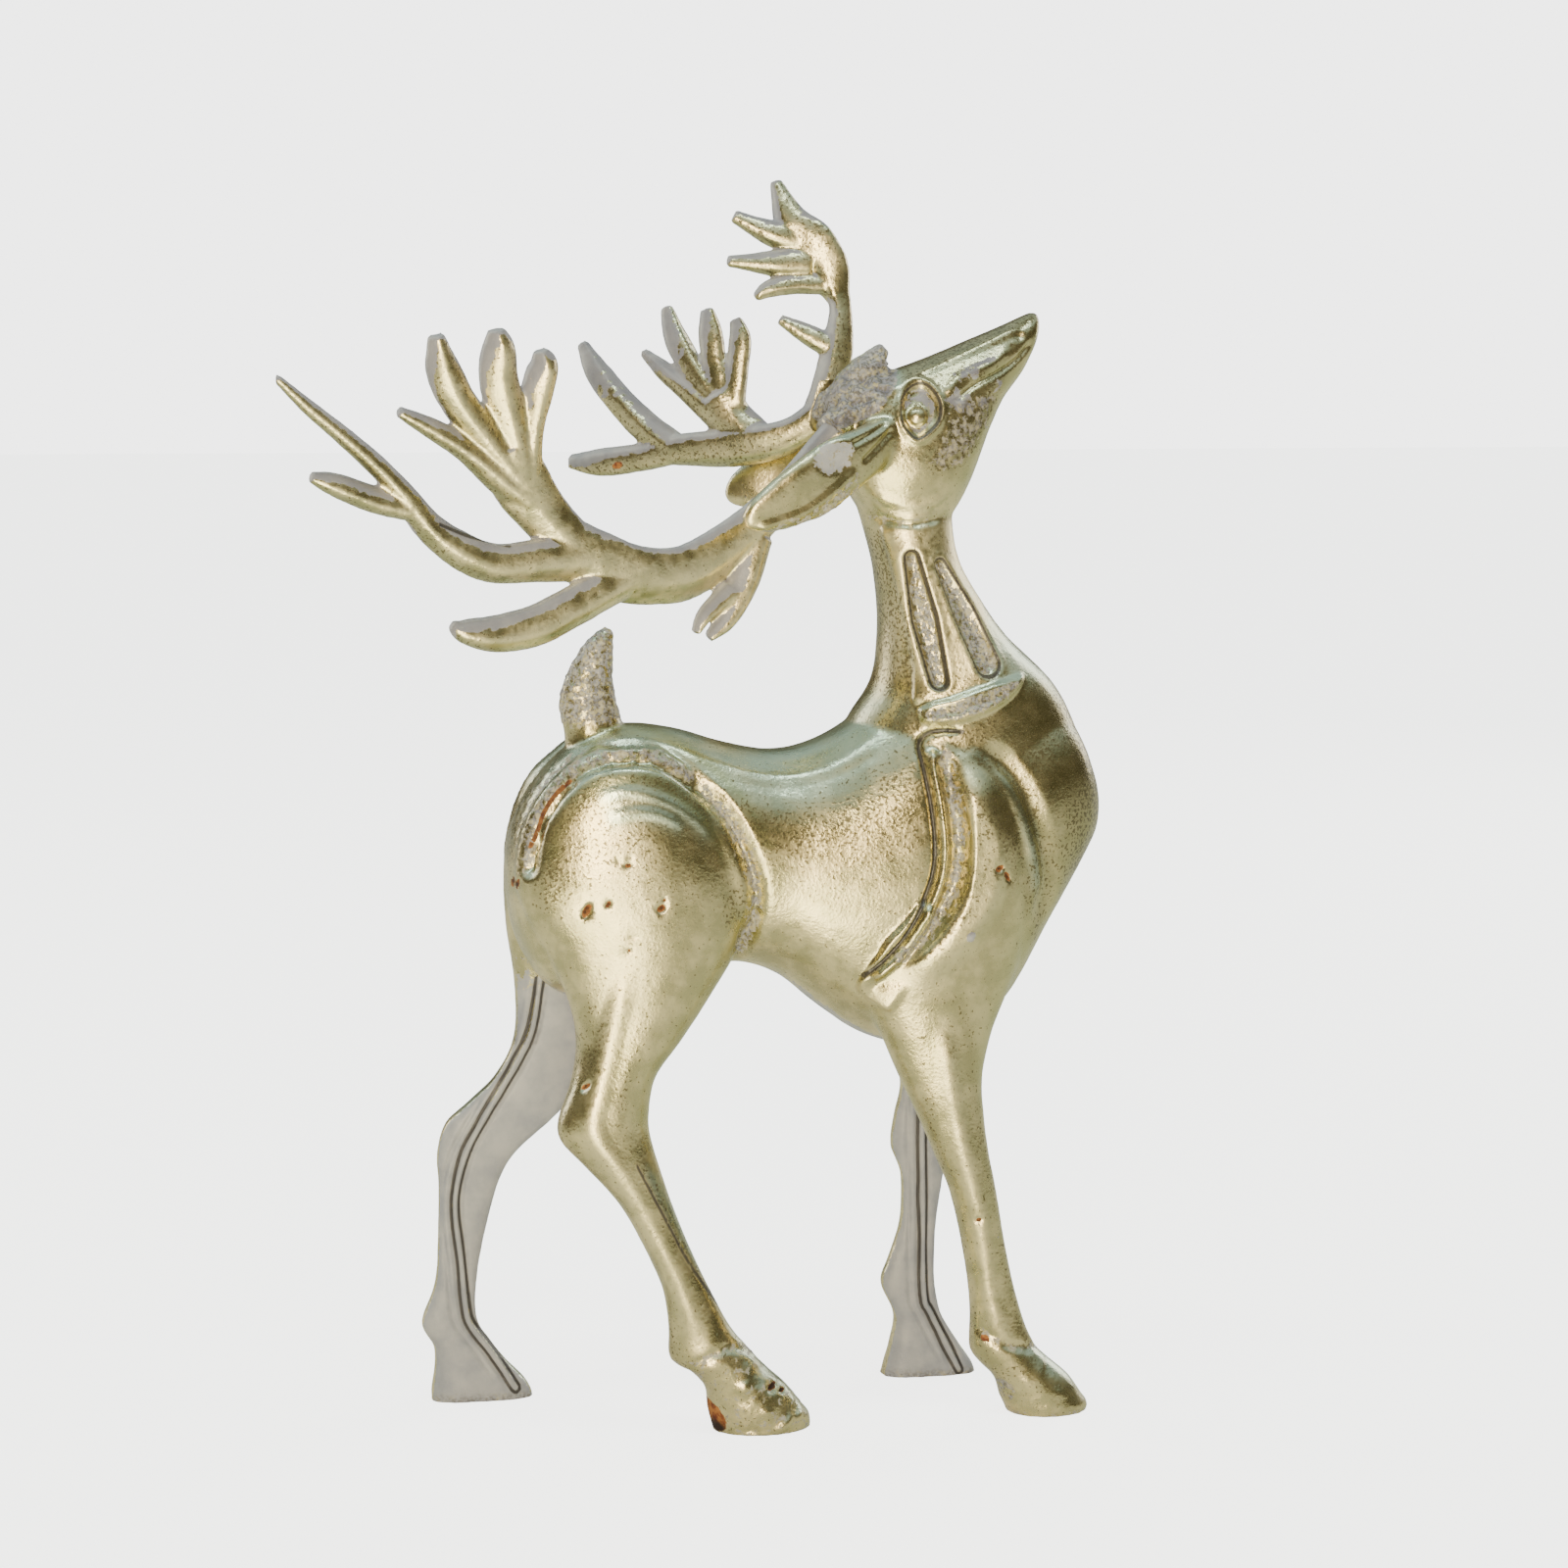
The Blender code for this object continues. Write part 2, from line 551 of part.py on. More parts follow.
def make_object(name, mesh, material, collection):
    """Turns a bmesh into a named object with outward faces."""
    bmesh.ops.recalc_face_normals(mesh, faces=mesh.faces)
    data = bpy.data.meshes.new(name)
    mesh.to_mesh(data)
    mesh.free()
    data.materials.append(material)
    item = bpy.data.objects.new(name, data)
    collection.objects.link(item)
    return item


def fuse(item, voxel, passes):
    """Grows the overlapping forms into one skin, as a plain mesh."""
    remesh = item.modifiers.new("fuse", "REMESH")
    remesh.mode = "VOXEL"
    remesh.voxel_size = voxel
    soften = item.modifiers.new("soften", "SMOOTH")
    soften.factor = 0.5
    soften.iterations = passes
    graph = bpy.context.evaluated_depsgraph_get()
    fused = bpy.data.meshes.new_from_object(item.evaluated_get(graph))
    item.modifiers.clear()
    item.data = fused
    fused.shade_smooth()


def thin_out(item, faces):
    """Leaves about the given number of triangles."""
    count = sum(len(face.vertices) - 2 for face in item.data.polygons)
    thin = item.modifiers.new("thin_out", "DECIMATE")
    thin.ratio = min(1.0, faces / count)


def cut_with(item, cutter):
    """Takes a cutter's form out of an object."""
    cut = item.modifiers.new("cut_" + cutter.name, "BOOLEAN")
    cut.operation = "DIFFERENCE"
    cut.solver = "EXACT"
    cut.object = cutter


def make_cutter(name, mesh, collection):
    """A hidden guide that a Boolean takes away."""
    bmesh.ops.recalc_face_normals(mesh, faces=mesh.faces)
    data = bpy.data.meshes.new(name)
    mesh.to_mesh(data)
    mesh.free()
    item = bpy.data.objects.new(name, data)
    item.hide_render = True
    item.display_type = "WIRE"
    collection.objects.link(item)
    return item


def right_ear():
    """The ear's rows on the side of -Y."""
    return [(x, -out, z, wide, thick) for x, out, z, wide, thick in EAR]


def left_ear():
    """The ear's rows on the side of +Y, shifted more and more to the tip."""
    rows = []
    for index, (x, out, z, wide, thick) in enumerate(EAR):
        share = index / (len(EAR) - 1)
        spread = 1.0 + (LEFT_EAR_SPREAD - 1.0) * share
        rows.append((x + LEFT_EAR_SHIFT[0] * share, out * spread,
                     z + LEFT_EAR_SHIFT[1] * share, wide, thick))
    return rows


def make_ground_cutter(collection):
    """A slab whose top is the surface that the hooves stand on."""
    mesh = bmesh.new()
    bmesh.ops.create_cube(mesh, size=1.0)
    depth = HEIGHT / 10
    bmesh.ops.scale(mesh, vec=Vector((HEIGHT, HEIGHT, depth)), verts=mesh.verts)
    bmesh.ops.translate(mesh, vec=Vector((0, 0, -depth / 2)), verts=mesh.verts)
    return make_cutter("ground", mesh, collection)


def make_seat_cutter(name, seat, way, start, end, collection):
    """A disc across an antler's seat, from start to end along the way it looks."""
    way = Vector(way).normalized()
    mesh = bmesh.new()
    bmesh.ops.create_cone(mesh, cap_ends=True, segments=SEAT_SIDES, radius1=SEAT_RADIUS,
                          radius2=SEAT_RADIUS, depth=end - start)
    turn = way.to_track_quat("Z", "Y").to_matrix()
    place = (Vector(seat) - Vector((0, 0, SOLE_LEVEL))) * UNIT + way * (start + end) / 2
    bmesh.ops.rotate(mesh, matrix=turn, verts=mesh.verts)
    bmesh.ops.translate(mesh, vec=place, verts=mesh.verts)
    return make_cutter(name, mesh, collection)


def add_pedicle(mesh, seat, way):
    """The stub on the crown that carries an antler, longer than its seat."""
    seat = Vector(seat)
    way = Vector(way).normalized()
    rows = []
    for reach in (-PEDICLE_DEPTH, -PEDICLE_DEPTH / 2, 0.0, PEDICLE_SPARE):
        rows.append((*(seat + way * reach), PEDICLE_RADIUS, PEDICLE_RADIUS))
    add_blade(mesh, rows, Vector((0.3, 0.4, 0.9)))


def make_body(material, collection):
    """Trunk, neck, head, legs, ears and tail, moulded as one."""
    mesh = bmesh.new()
    add_upright_slices(mesh, TRUNK)
    add_upright_slices(mesh, HEAD)
    add_level_slices(mesh, NECK)
    add_leg(mesh, HIND_RIGHT, -1)
    add_leg(mesh, HIND_LEFT, 1)
    add_leg(mesh, FORE_RIGHT, -1)
    add_leg(mesh, FORE_LEFT, 1)
    add_blade(mesh, right_ear(), Vector((0.25, -1.0, 0.15)))
    add_blade(mesh, left_ear(), Vector((0.25, 1.0, 0.15)))
    add_blade(mesh, TAIL, Vector((0, 1, 0)))
    add_blade(mesh, FORELOCK, Vector((0, 1, 0)))
    add_pedicle(mesh, SEAT_RIGHT, SEAT_RIGHT_WAY)
    add_pedicle(mesh, SEAT_LEFT, SEAT_LEFT_WAY)
    body = make_object("body", mesh, material, collection)
    fuse(body, BODY_VOXEL, BODY_PASSES)
    carve(body)
    thin_out(body, BODY_FACES)
    return body


def make_antler(name, parts, material, collection):
    """One antler from its groups of prongs."""
    mesh = bmesh.new()
    for prongs, place_y, depth in parts:
        add_prongs(mesh, prongs, place_y, depth)
    antler = make_object(name, mesh, material, collection)
    fuse(antler, ANTLER_VOXEL, ANTLER_PASSES)
    thin_out(antler, ANTLER_FACES)
    return antler


def stand_on_centre(items, cutters):
    """Moves all the pieces, so that the whole figure stands centred on the origin."""
    bpy.context.view_layer.update()
    graph = bpy.context.evaluated_depsgraph_get()
    corners = [item.matrix_world @ Vector(corner) for item in items
               for corner in item.evaluated_get(graph).bound_box]
    shift = Vector((0.0, 0.0, 0.0))
    for axis in (0, 1):
        places = [corner[axis] for corner in corners]
        shift[axis] = -(min(places) + max(places)) / 2
    for item in items + cutters:
        item.location = shift


def main():
    clear_scene()
    figure = bpy.data.collections.new("reindeer_figurine")
    guides = bpy.data.collections.new("cutters")
    bpy.context.scene.collection.children.link(figure)
    bpy.context.scene.collection.children.link(guides)

    body_foil = make_material("body_foil", GOLD)
    antler_foil = make_material("antler_foil", PALE_GOLD)

    body = make_body(body_foil, figure)
    right = make_antler("antler_right", [(ANTLER_RIGHT, right_antler_y, ANTLER_BACK)],
                        antler_foil, figure)
    left = make_antler("antler_left", [(ANTLER_LEFT, left_antler_y, ANTLER_BACK),
                                       (BROW_PALM, brow_palm_y, BROW_BACK)], antler_foil, figure)

    cutters = [make_ground_cutter(guides)]
    cut_with(body, cutters[0])
    for antler, seat, way in ((right, SEAT_RIGHT, SEAT_RIGHT_WAY), (left, SEAT_LEFT, SEAT_LEFT_WAY)):
        above = make_seat_cutter(antler.name + "_seat", seat, way, 0.0, SEAT_RADIUS, guides)
        below = make_seat_cutter(antler.name + "_root", seat, way, -2 * SEAT_RADIUS, ANTLER_GAP, guides)
        cut_with(body, above)
        cut_with(antler, below)
        cutters += [above, below]
    stand_on_centre([body, right, left], cutters)


main()
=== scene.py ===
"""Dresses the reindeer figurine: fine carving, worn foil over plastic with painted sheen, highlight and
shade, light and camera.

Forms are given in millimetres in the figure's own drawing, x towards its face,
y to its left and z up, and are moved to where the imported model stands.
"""

import math

import bmesh
import bpy
import numpy as np
from mathutils import Matrix, Vector


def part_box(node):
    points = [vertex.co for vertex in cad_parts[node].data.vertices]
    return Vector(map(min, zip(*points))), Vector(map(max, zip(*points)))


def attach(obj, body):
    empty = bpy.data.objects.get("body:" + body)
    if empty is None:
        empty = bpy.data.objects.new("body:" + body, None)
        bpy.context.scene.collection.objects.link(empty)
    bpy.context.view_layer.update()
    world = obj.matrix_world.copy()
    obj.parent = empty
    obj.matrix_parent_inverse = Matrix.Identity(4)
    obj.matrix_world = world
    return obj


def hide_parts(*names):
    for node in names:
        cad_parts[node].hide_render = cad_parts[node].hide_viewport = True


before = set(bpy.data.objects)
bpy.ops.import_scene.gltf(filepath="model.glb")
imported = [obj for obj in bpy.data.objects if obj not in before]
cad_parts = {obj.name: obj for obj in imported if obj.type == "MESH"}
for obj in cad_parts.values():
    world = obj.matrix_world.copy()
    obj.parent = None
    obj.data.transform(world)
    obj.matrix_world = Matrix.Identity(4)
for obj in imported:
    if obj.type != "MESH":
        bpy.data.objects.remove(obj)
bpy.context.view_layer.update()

MM = 0.001

# Fineness of the skins, in millimetres and triangles
RING_SIDES = 48
BODY_VOXEL = 0.36
ANTLER_VOXEL = 0.36
BODY_TRIANGLES = 194000
ANTLER_TRIANGLES = 150000
BODY_BLEND = 1.4
ANTLER_BLEND = 0.6
SEAT_GAP = 0.3
SEAT_REACH = 4.5
SEAT_SIDES = 48

# Height of the surface under the hooves in the drawing
SOLE_LEVEL = 0.8

# How square a section is: 2 is an ellipse, more is boxier, less is ridged
ROUND = 2.0
TRUNK_SQUARE = 2.25
INNER_SQUARE = 3.2
BACK_SQUARE = 3.0

# Trunk, cut across its length: place, underside, back line, half width
TRUNK = (
    (-44.8, 86, 92, 3), (-43.7, 80, 97, 8), (-41.4, 75, 101.8, 11.5), (-38, 71, 106.4, 13.6),
    (-33, 69, 110.6, 15), (-26, 69, 112.8, 15.6), (-18, 71, 112, 15.4), (-10, 74.3, 109.6, 14.8),
    (-2, 72.3, 108.2, 14.8), (5, 66.8, 109.6, 15.6), (12, 62, 113.5, 16.4), (19, 60, 118, 16.8),
    (27, 61, 120, 16.6), (35, 66, 119, 15.8), (42, 78, 116.5, 13.6), (47.3, 87, 111.5, 10.2),
    (50.4, 92.5, 104.5, 6.2), (51.6, 96, 99.5, 2.4))

# Neck, cut level: height, nape, throat, half width
NECK = (
    (104, 8, 50, 14.5), (112, 10, 47.5, 13.8), (118.8, 14.2, 43.6, 12.8), (126, 15.3, 36.2, 11),
    (132, 15.2, 31.8, 9.8), (138, 14.4, 28.4, 8.8), (144, 12.8, 27.2, 8.3), (150, 11, 27.4, 8.2),
    (156, 10, 27, 7.8))

# Head, cut across its length: place, jaw line, brow line, half width
HEAD = (
    (6.8, 158, 164, 3), (8.6, 153.5, 166.8, 6), (12, 146.8, 168, 8.6), (16.6, 143.3, 168.3, 9.9),
    (21, 142.8, 169.6, 10.2), (25.6, 144, 171.4, 9.6), (29.2, 149.4, 172.9, 8.4), (32.4, 157.6, 174.2, 6.8),
    (35, 163.2, 175.3, 5.6), (38.2, 167.6, 176.7, 4.5), (40.2, 171.4, 177.5, 3.4), (41.2, 174, 177.2, 1.8))

# Legs, cut level: height, rear edge, front edge, inner side, outer side
HIND_RIGHT = (
    (110, -31.5, -22, 6, 12.5), (107, -36.5, -17, 5, 15.2), (102, -41, -12.4, 4, 16.6),
    (96, -43.6, -8.8, 3, 17.4), (89, -44.4, -6.8, 3, 17.8), (82, -42, -7.6, 3, 17.6),
    (76.6, -39, -10, 4, 17.2), (70, -36.2, -14.2, 5.2, 16.8), (64, -35.2, -18.4, 6.4, 16.6),
    (58, -36, -22.8, 7.4, 16.6), (52, -38.2, -24, 8.2, 16.8), (48.6, -38, -23.7, 8.8, 16.8),
    (44.5, -34.4, -22.6, 9.4, 16.6), (38, -28.8, -20.5, 9.8, 16.2), (31, -25, -17.8, 10, 16),
    (24, -22, -14.6, 10, 16), (17.5, -21, -11.2, 9.8, 16.4), (12.8, -20.8, -7.4, 9.4, 17),
    (10.4, -17.4, -5.2, 9.2, 17.2), (7.6, -15.2, -2.2, 8.8, 17.8), (4.2, -14.8, 0.4, 8.4, 18.2),
    (1.8, -14.2, 1.8, 8.6, 18), (-4, -12.6, 0.4, 9.2, 17.4))

HIND_LEFT = (
    (110, -33.5, -24, 6, 12.5), (104, -40, -14, 4, 16), (96, -43.4, -9.5, 3, 17.4),
    (89, -44.2, -8.5, 3, 17.8), (80, -44, -11, 3.5, 17.4), (70.4, -42.6, -19, 5.2, 16.8),
    (61, -42.6, -25.6, 7, 16.6), (54.5, -45.6, -30, 8, 16.8), (50, -50.2, -33.4, 8.6, 16.8),
    (46.5, -53.9, -36.8, 9, 16.8), (41.5, -55.2, -42.4, 9.6, 16.4), (36.6, -55, -45.2, 9.8, 16.2),
    (28, -55.2, -47.6, 10, 16), (20, -55.8, -49, 10, 16), (13.6, -58, -48.9, 9.8, 16.6),
    (9.8, -56.2, -46.6, 9.4, 17), (6.4, -56, -44, 9, 17.4), (2.2, -56.6, -40.4, 8.6, 18),
    (-4, -56.8, -39, 8.6, 18))

FORE_RIGHT = (
    (111, 20, 26.5, 6, 13), (104, 20.8, 33, 5, 16.8), (97, 21.2, 36.6, 4, 18), (90, 20.8, 38, 4, 18.2),
    (84, 18.6, 38.2, 4, 18), (78, 14.2, 37.2, 4.4, 17.6), (73, 10.4, 35.8, 5, 17), (68.5, 11, 34, 5.6, 16.2),
    (63, 13.8, 31.8, 6.4, 15.8), (56, 16.8, 30.2, 7.6, 15.6), (50, 19.6, 30.4, 8.4, 15.4),
    (44, 22.2, 31.1, 8.8, 15.4), (37, 25, 32.5, 9.2, 15.2), (27, 27.2, 34.2, 9.6, 15),
    (18, 28.3, 36.4, 9.6, 15.2), (12, 28.2, 38.8, 9.2, 15.8), (9.4, 29.6, 41.2, 8.8, 16.2),
    (6.4, 32.4, 44.6, 8.4, 16.8), (3.2, 33.4, 46.8, 8.2, 17.2), (1.2, 34.4, 47.8, 8.2, 17.2),
    (-4, 36.4, 46, 8.8, 16.6))

FORE_LEFT = (
    (108, 20, 28.5, 6, 13), (97, 20, 36.4, 4, 18), (88, 18, 38, 4, 18.2), (78, 14, 35.6, 4.4, 17.4),
    (68, 15.5, 33.4, 5.6, 16.2), (58, 19.6, 31.6, 7.4, 15.6), (51, 21.9, 31, 8.4, 15.4),
    (45, 20.9, 30.8, 8.8, 15.4), (40, 20.3, 30.2, 9, 15.4), (35, 22.1, 29.3, 9.2, 15.2),
    (27, 22, 28.2, 9.6, 15), (20.5, 20, 27.9, 9.6, 15.2), (16.4, 18.8, 28, 9.4, 15.8),
    (11, 21, 29, 9.2, 15.8), (5.8, 20.2, 32, 8.6, 16.6), (1.4, 19, 34.8, 8.2, 17.2),
    (-4, 18.6, 35.6, 8.2, 17.2))

# Leaves of the body, along the middle: x, y outward, z, half width, half thickness
EAR = (
    (15, 7.4, 158.2, 3.2, 2.4), (11, 10.4, 155.8, 4, 2.2), (6, 13.2, 153.2, 5, 2), (1, 15, 150.2, 5, 1.8),
    (-4, 15.8, 147.6, 4, 1.7), (-7.6, 16.6, 146, 2.6, 1.4), (-9.4, 17, 145.2, 1, 0.9))
# The left ear is held wider and a little further forward at its tip
LEFT_EAR_SPREAD = 1.18
LEFT_EAR_SHIFT = (3.8, 3.2)

TAIL = (
    (-30.6, 0, 107, 4.6, 4.4), (-30.8, 0, 112, 4.6, 3.6), (-31.6, 0, 117, 4.5, 3),
    (-30.8, 0, 121.6, 3.4, 2.6), (-29.4, 0, 125.4, 2.2, 2), (-28.2, 0, 128, 0.8, 1))

# Antler seats on the crown: a flat round face and the way it looks
SEAT_RIGHT = (6.8, -5.2, 158.4)
SEAT_RIGHT_WAY = (-0.70, -0.34, -0.63)
SEAT_LEFT = (8.4, 6.8, 162.4)
SEAT_LEFT_WAY = (-0.52, 0.85, 0.08)
PEDICLE_RADIUS = 3.1
PEDICLE_DEPTH = 5.0
PEDICLE_SPARE = 1.2

# Ridge of hair on the crown, in front of the antlers
FORELOCK = (
    (10.6, 0, 165, 3.2, 4.2), (13.2, 0, 168, 2.8, 3.6), (15.2, 0, 169.8, 2.1, 2.6),
    (16.4, 0, 170.7, 1.2, 1.6))

# Antler prongs, along the middle: x, z, half width in the antler's own sheet
ANTLER_RIGHT = {
    "beam": (
        (9, 160.4, 2.5), (5.6, 156.4, 2.6), (-0.6, 149.2, 3), (-8, 142.6, 4.1), (-16, 137.6, 4.9),
        (-21.5, 136.6, 4.8), (-27.5, 137.3, 4.9), (-33, 139.6, 5), (-37, 142.8, 3.8)),
    "root_tine": ((-5.6, 142.5, 3), (-7.8, 135.2, 2.6), (-10.7, 129.8, 1.8), (-13.8, 126.9, 0.8)),
    "root_lobe": ((-10, 134.2, 1.7), (-14.2, 130.6, 1.3), (-16, 127.8, 0.7)),
    "low_prong": (
        (-27.5, 136.6, 3.5), (-35.6, 132.6, 3.5), (-41.8, 129.8, 3.5), (-48, 128.8, 3), (-53, 129.4, 1.9),
        (-55.2, 130.5, 0.8)),
    "long_prong": (
        (-33.5, 140, 4.2), (-41.5, 139.6, 3.5), (-48.5, 139.4, 3.1), (-54, 141.8, 2.8), (-58.4, 145.2, 2.3),
        (-62, 149.7, 1.9), (-65.8, 153.9, 1.6), (-70.8, 158.4, 1.4), (-76.6, 163.2, 1.1),
        (-81.2, 167.4, 0.6)),
    "side_fork": ((-61.8, 148, 1.9), (-67, 149.5, 2), (-72.8, 151.8, 1.7), (-76.2, 153, 0.8)),
    "palm": ((-36, 142, 3.6), (-40.8, 147, 4), (-44.6, 152.2, 4.6), (-46.2, 157, 3.8)),
    "fan_1": (
        (-43.2, 149.1, 2.3), (-47.4, 152.3, 2.6), (-52.6, 156.4, 1.9), (-57.8, 159.6, 1.6),
        (-63.2, 162.4, 0.8)),
    "fan_2": (
        (-44.8, 152.1, 2.3), (-49.6, 158, 2.6), (-54, 163.6, 2.7), (-56.4, 168.4, 2.6), (-57.6, 173.4, 1.2)),
    "fan_3": (
        (-44.2, 153.5, 2.6), (-46.4, 161, 2.9), (-47.9, 167, 3), (-48, 171.4, 2.6), (-48.4, 174.3, 1.3)),
    "fan_4": (
        (-43.2, 152, 2.1), (-42.8, 159.4, 2), (-41.9, 165, 2.5), (-41, 168.8, 2.3), (-41.6, 171.3, 1.1)),
}

ANTLER_LEFT = {
    "beam": (
        (10, 163, 2.6), (7.6, 161.2, 2.8), (4, 158.4, 2.9), (0, 156.6, 3.4), (-5.7, 155.5, 3.5),
        (-12.3, 155.2, 3), (-17.5, 154.9, 2.3)),
    "back_prong": (
        (-13.8, 155.5, 2.2), (-18.2, 158.6, 2.6), (-22.3, 163.2, 2.4), (-25.5, 168, 2.1), (-27.6, 172.6, 1)),
    "low_prong": ((-15.2, 154.8, 2.3), (-20.4, 153.6, 2.4), (-25.4, 152.9, 2.3), (-29.8, 153.1, 1.1)),
    "palm": ((-2.6, 157.2, 3.4), (-5.6, 160.4, 3.4), (-7.6, 164.4, 3.2)),
    "fan_1": ((-7.8, 160.4, 2.2), (-12, 164.6, 1.9), (-15.6, 168, 1.6), (-18.7, 171.2, 0.8)),
    "fan_2": ((-7.4, 162, 1.9), (-11, 167.6, 2), (-13.6, 173.2, 2), (-15, 178.5, 1)),
    "fan_3": ((-6.8, 162.8, 1.9), (-8, 168.4, 1.9), (-8.5, 174, 2), (-9, 178.1, 1.1)),
    "fan_4": ((-5.6, 162.8, 2), (-4.8, 168.4, 1.8), (-4.2, 173.2, 1.8), (-4.8, 176.5, 1)),
}

BROW_PALM = {
    "shaft": (
        (7, 161.6, 2.6), (8.2, 165, 2.6), (9.8, 169.6, 2.7), (10.8, 174.2, 2.3), (11.2, 178.8, 1.8),
        (10.2, 183, 2.3)),
    "side_tine": ((10.4, 171.4, 1.9), (5.8, 173.8, 1.7), (1.2, 176.4, 0.8)),
    "palm": ((11, 179.6, 1.8), (9.4, 184.4, 3.8), (6.2, 188.4, 4.8), (3.6, 192.8, 2.8), (1.8, 198.6, 0.9)),
    "prong_1": ((10, 181.8, 1.6), (4.2, 182, 1.7), (-0.2, 181.2, 1.4), (-2.4, 179.9, 0.7)),
    "prong_2": ((6.5, 185.2, 2.5), (1.6, 185.2, 2.2), (-3.2, 185.4, 1.4), (-6.8, 185.6, 0.9)),
    "prong_3": ((5.2, 189, 2.5), (1.2, 189.9, 2.2), (-2, 191.2, 1.6), (-5.4, 192.9, 1)),
}

# Carving of both flanks, seen square from the side: paths of x, z
THIGH_CREASE = (
    (-42.9, 92), (-41.9, 97.9), (-40, 101.6), (-36.8, 105.6), (-32.6, 108.3), (-27.2, 109.2), (-22, 108.4),
    (-17.2, 105.3), (-12.5, 100.7), (-9.1, 94.4), (-7.2, 88.2), (-7.4, 82.4), (-9, 77))
RUST_CRACK = ((-35.2, 105.8), (-37.9, 103.4), (-40, 100.4), (-41.3, 96.8), (-42.7, 94.2))
THIGH_RIPPLES = (
    ((-33.6, 102.6), (-27.7, 103.9), (-21.6, 102.2), (-16.4, 98.7), (-13.3, 94.7)),
    ((-32, 99.2), (-27.8, 100.6), (-23, 100.3), (-18, 97.7)))
SHOULDER_GROOVE = (
    (26.1, 111.8), (23.1, 112), (20.6, 111.5), (19.2, 109.7), (19.6, 106.4), (20.5, 100.5), (21, 94.8),
    (20.7, 90.1), (19.1, 85.4), (16, 79.7), (12.6, 75.8), (10, 73.5))
SHOULDER_LIP = (
    (21.4, 109.6), (21.2, 106), (21.9, 100.5), (22.4, 94.6), (22, 89.6), (20.4, 84.6), (17.4, 79),
    (13.6, 75.2), (11, 73.4))
ELBOW = (
    (19.1, 86), (16.4, 82.4), (13.4, 79.2), (12.1, 76.8), (10.5, 74.4), (9.5, 71.8), (11.8, 69.4), (15, 67.4))
SHOULDER_CHANNEL = (
    (22.8, 108.6), (23.6, 104.6), (24.6, 99.6), (25, 94.4), (24.4, 89), (22.2, 84), (19, 79.6), (15, 76.2))
SHOULDER_BAND = (
    (24.9, 106.4), (26.8, 101.4), (28.2, 96.1), (28.6, 91), (27.8, 86.6), (25.2, 81.8), (21.2, 77.4),
    (15.4, 74))
SHOULDER_EDGE = ((25.2, 109.2), (30.2, 106.5), (33.6, 102.6), (35.8, 98), (37.6, 91.7), (38.2, 84.8))
SHOULDER_FRONT = (
    (28.6, 109.4), (33.2, 106), (36.2, 101.6), (38.4, 96), (39.8, 91.2), (40.4, 86.4), (38.6, 79))
COLLAR = (
    (20.1, 115.6), (24.6, 117.1), (29.4, 118.8), (33, 119.7), (36.4, 120.2), (35.6, 118.4), (32.7, 116.1),
    (27.7, 113.9), (24.2, 113.2), (20.6, 112.9), (19.6, 114.2))
COLLAR_MIDDLE = ((20.8, 114.4), (25, 115.2), (29.6, 116.6), (33.6, 118.4))
NAPE_EDGE = ((14.3, 144.3), (15.8, 139.2), (17, 134.2), (18.3, 128.4), (19.2, 121.6), (18.8, 115.4))
NECK_HOLLOWS = (
    (18.9, 139, 20.9, 128.9, 22.7, 119.7, 1.1, 1.9, 1.4),
    (23.5, 137.9, 27.1, 130.6, 30.6, 122.2, 0.9, 1.9, 2))
EYE_RIM = (
    (16.9, 162), (17.4, 164.2), (18.9, 165.8), (20.7, 166.3), (22.2, 165.2), (23.2, 162.8), (22.7, 160.4),
    (21, 158.6), (19.2, 157.7), (17.7, 159), (17, 160.6))
EYE_BALL = (19.5, 161.3, 1.6)
BROW = ((12.5, 162.1), (15, 164.3), (17.8, 166.2), (20.8, 167.8), (26.4, 170.2), (32, 172.6), (38, 175.2))
MOUTH = ((39.6, 173), (36.6, 170), (33.4, 168), (30, 166.6), (27.4, 165), (25.3, 163.2))
MUZZLE_RIDGE = ((23.8, 163.6), (26, 166.6), (29.6, 168.2), (33, 169.8), (35.4, 172.2))
NOSTRIL = (37.2, 173.7, 0.9)
MUZZLE = (
    (22.8, 166.6), (29, 169.6), (35, 172), (38.6, 173.6), (36.4, 168.8), (31, 162.6), (26, 161),
    (23.8, 163.2))
CHEEK = (
    (26, 163.5), (31.5, 165), (33.5, 163.5), (31, 158.5), (28, 154), (23.5, 152), (20.5, 153.5),
    (22.5, 157.5), (24, 161))
JAW_EDGE = ((12.2, 149.4), (16, 147.6), (20.6, 147.2), (25.2, 148.6))
JAW_FOLD = ((13.4, 145.4), (18.4, 144.3), (24.6, 145.2))
BACK_EDGE = ((-27, 111.6), (-20, 110.2), (-13, 107.4), (-5, 105), (3, 105.4), (10, 108.4), (15, 113))
HIND_SHIN = (
    (-27.6, 77), (-30.4, 66), (-32.8, 56), (-33.4, 50.6), (-28.6, 42.4), (-23.6, 32.6), (-19.6, 24),
    (-16.6, 15))
HIND_STRIP = ((-26.8, 45.5), (-22.4, 36.8), (-17.9, 28.2), (-12.6, 20.5), (-7.6, 13.2))
FORE_STRIP = ((31, 56), (32.5, 46), (33.8, 36), (35.2, 26), (37, 17))
FORE_SHIN = ((22.4, 66), (24.2, 55), (26.4, 44), (29.2, 33), (31, 20), (34, 12))
EAR_RIDGE = ((9, 153.2), (4.6, 149.6), (0.6, 146.9), (-4, 145.2), (-8, 144.2))
EAR_DISH = ((1.6, 156.8), (5.4, 158), (8.4, 156.8), (7.6, 153.4), (4.2, 151.8), (1.2, 153.6))
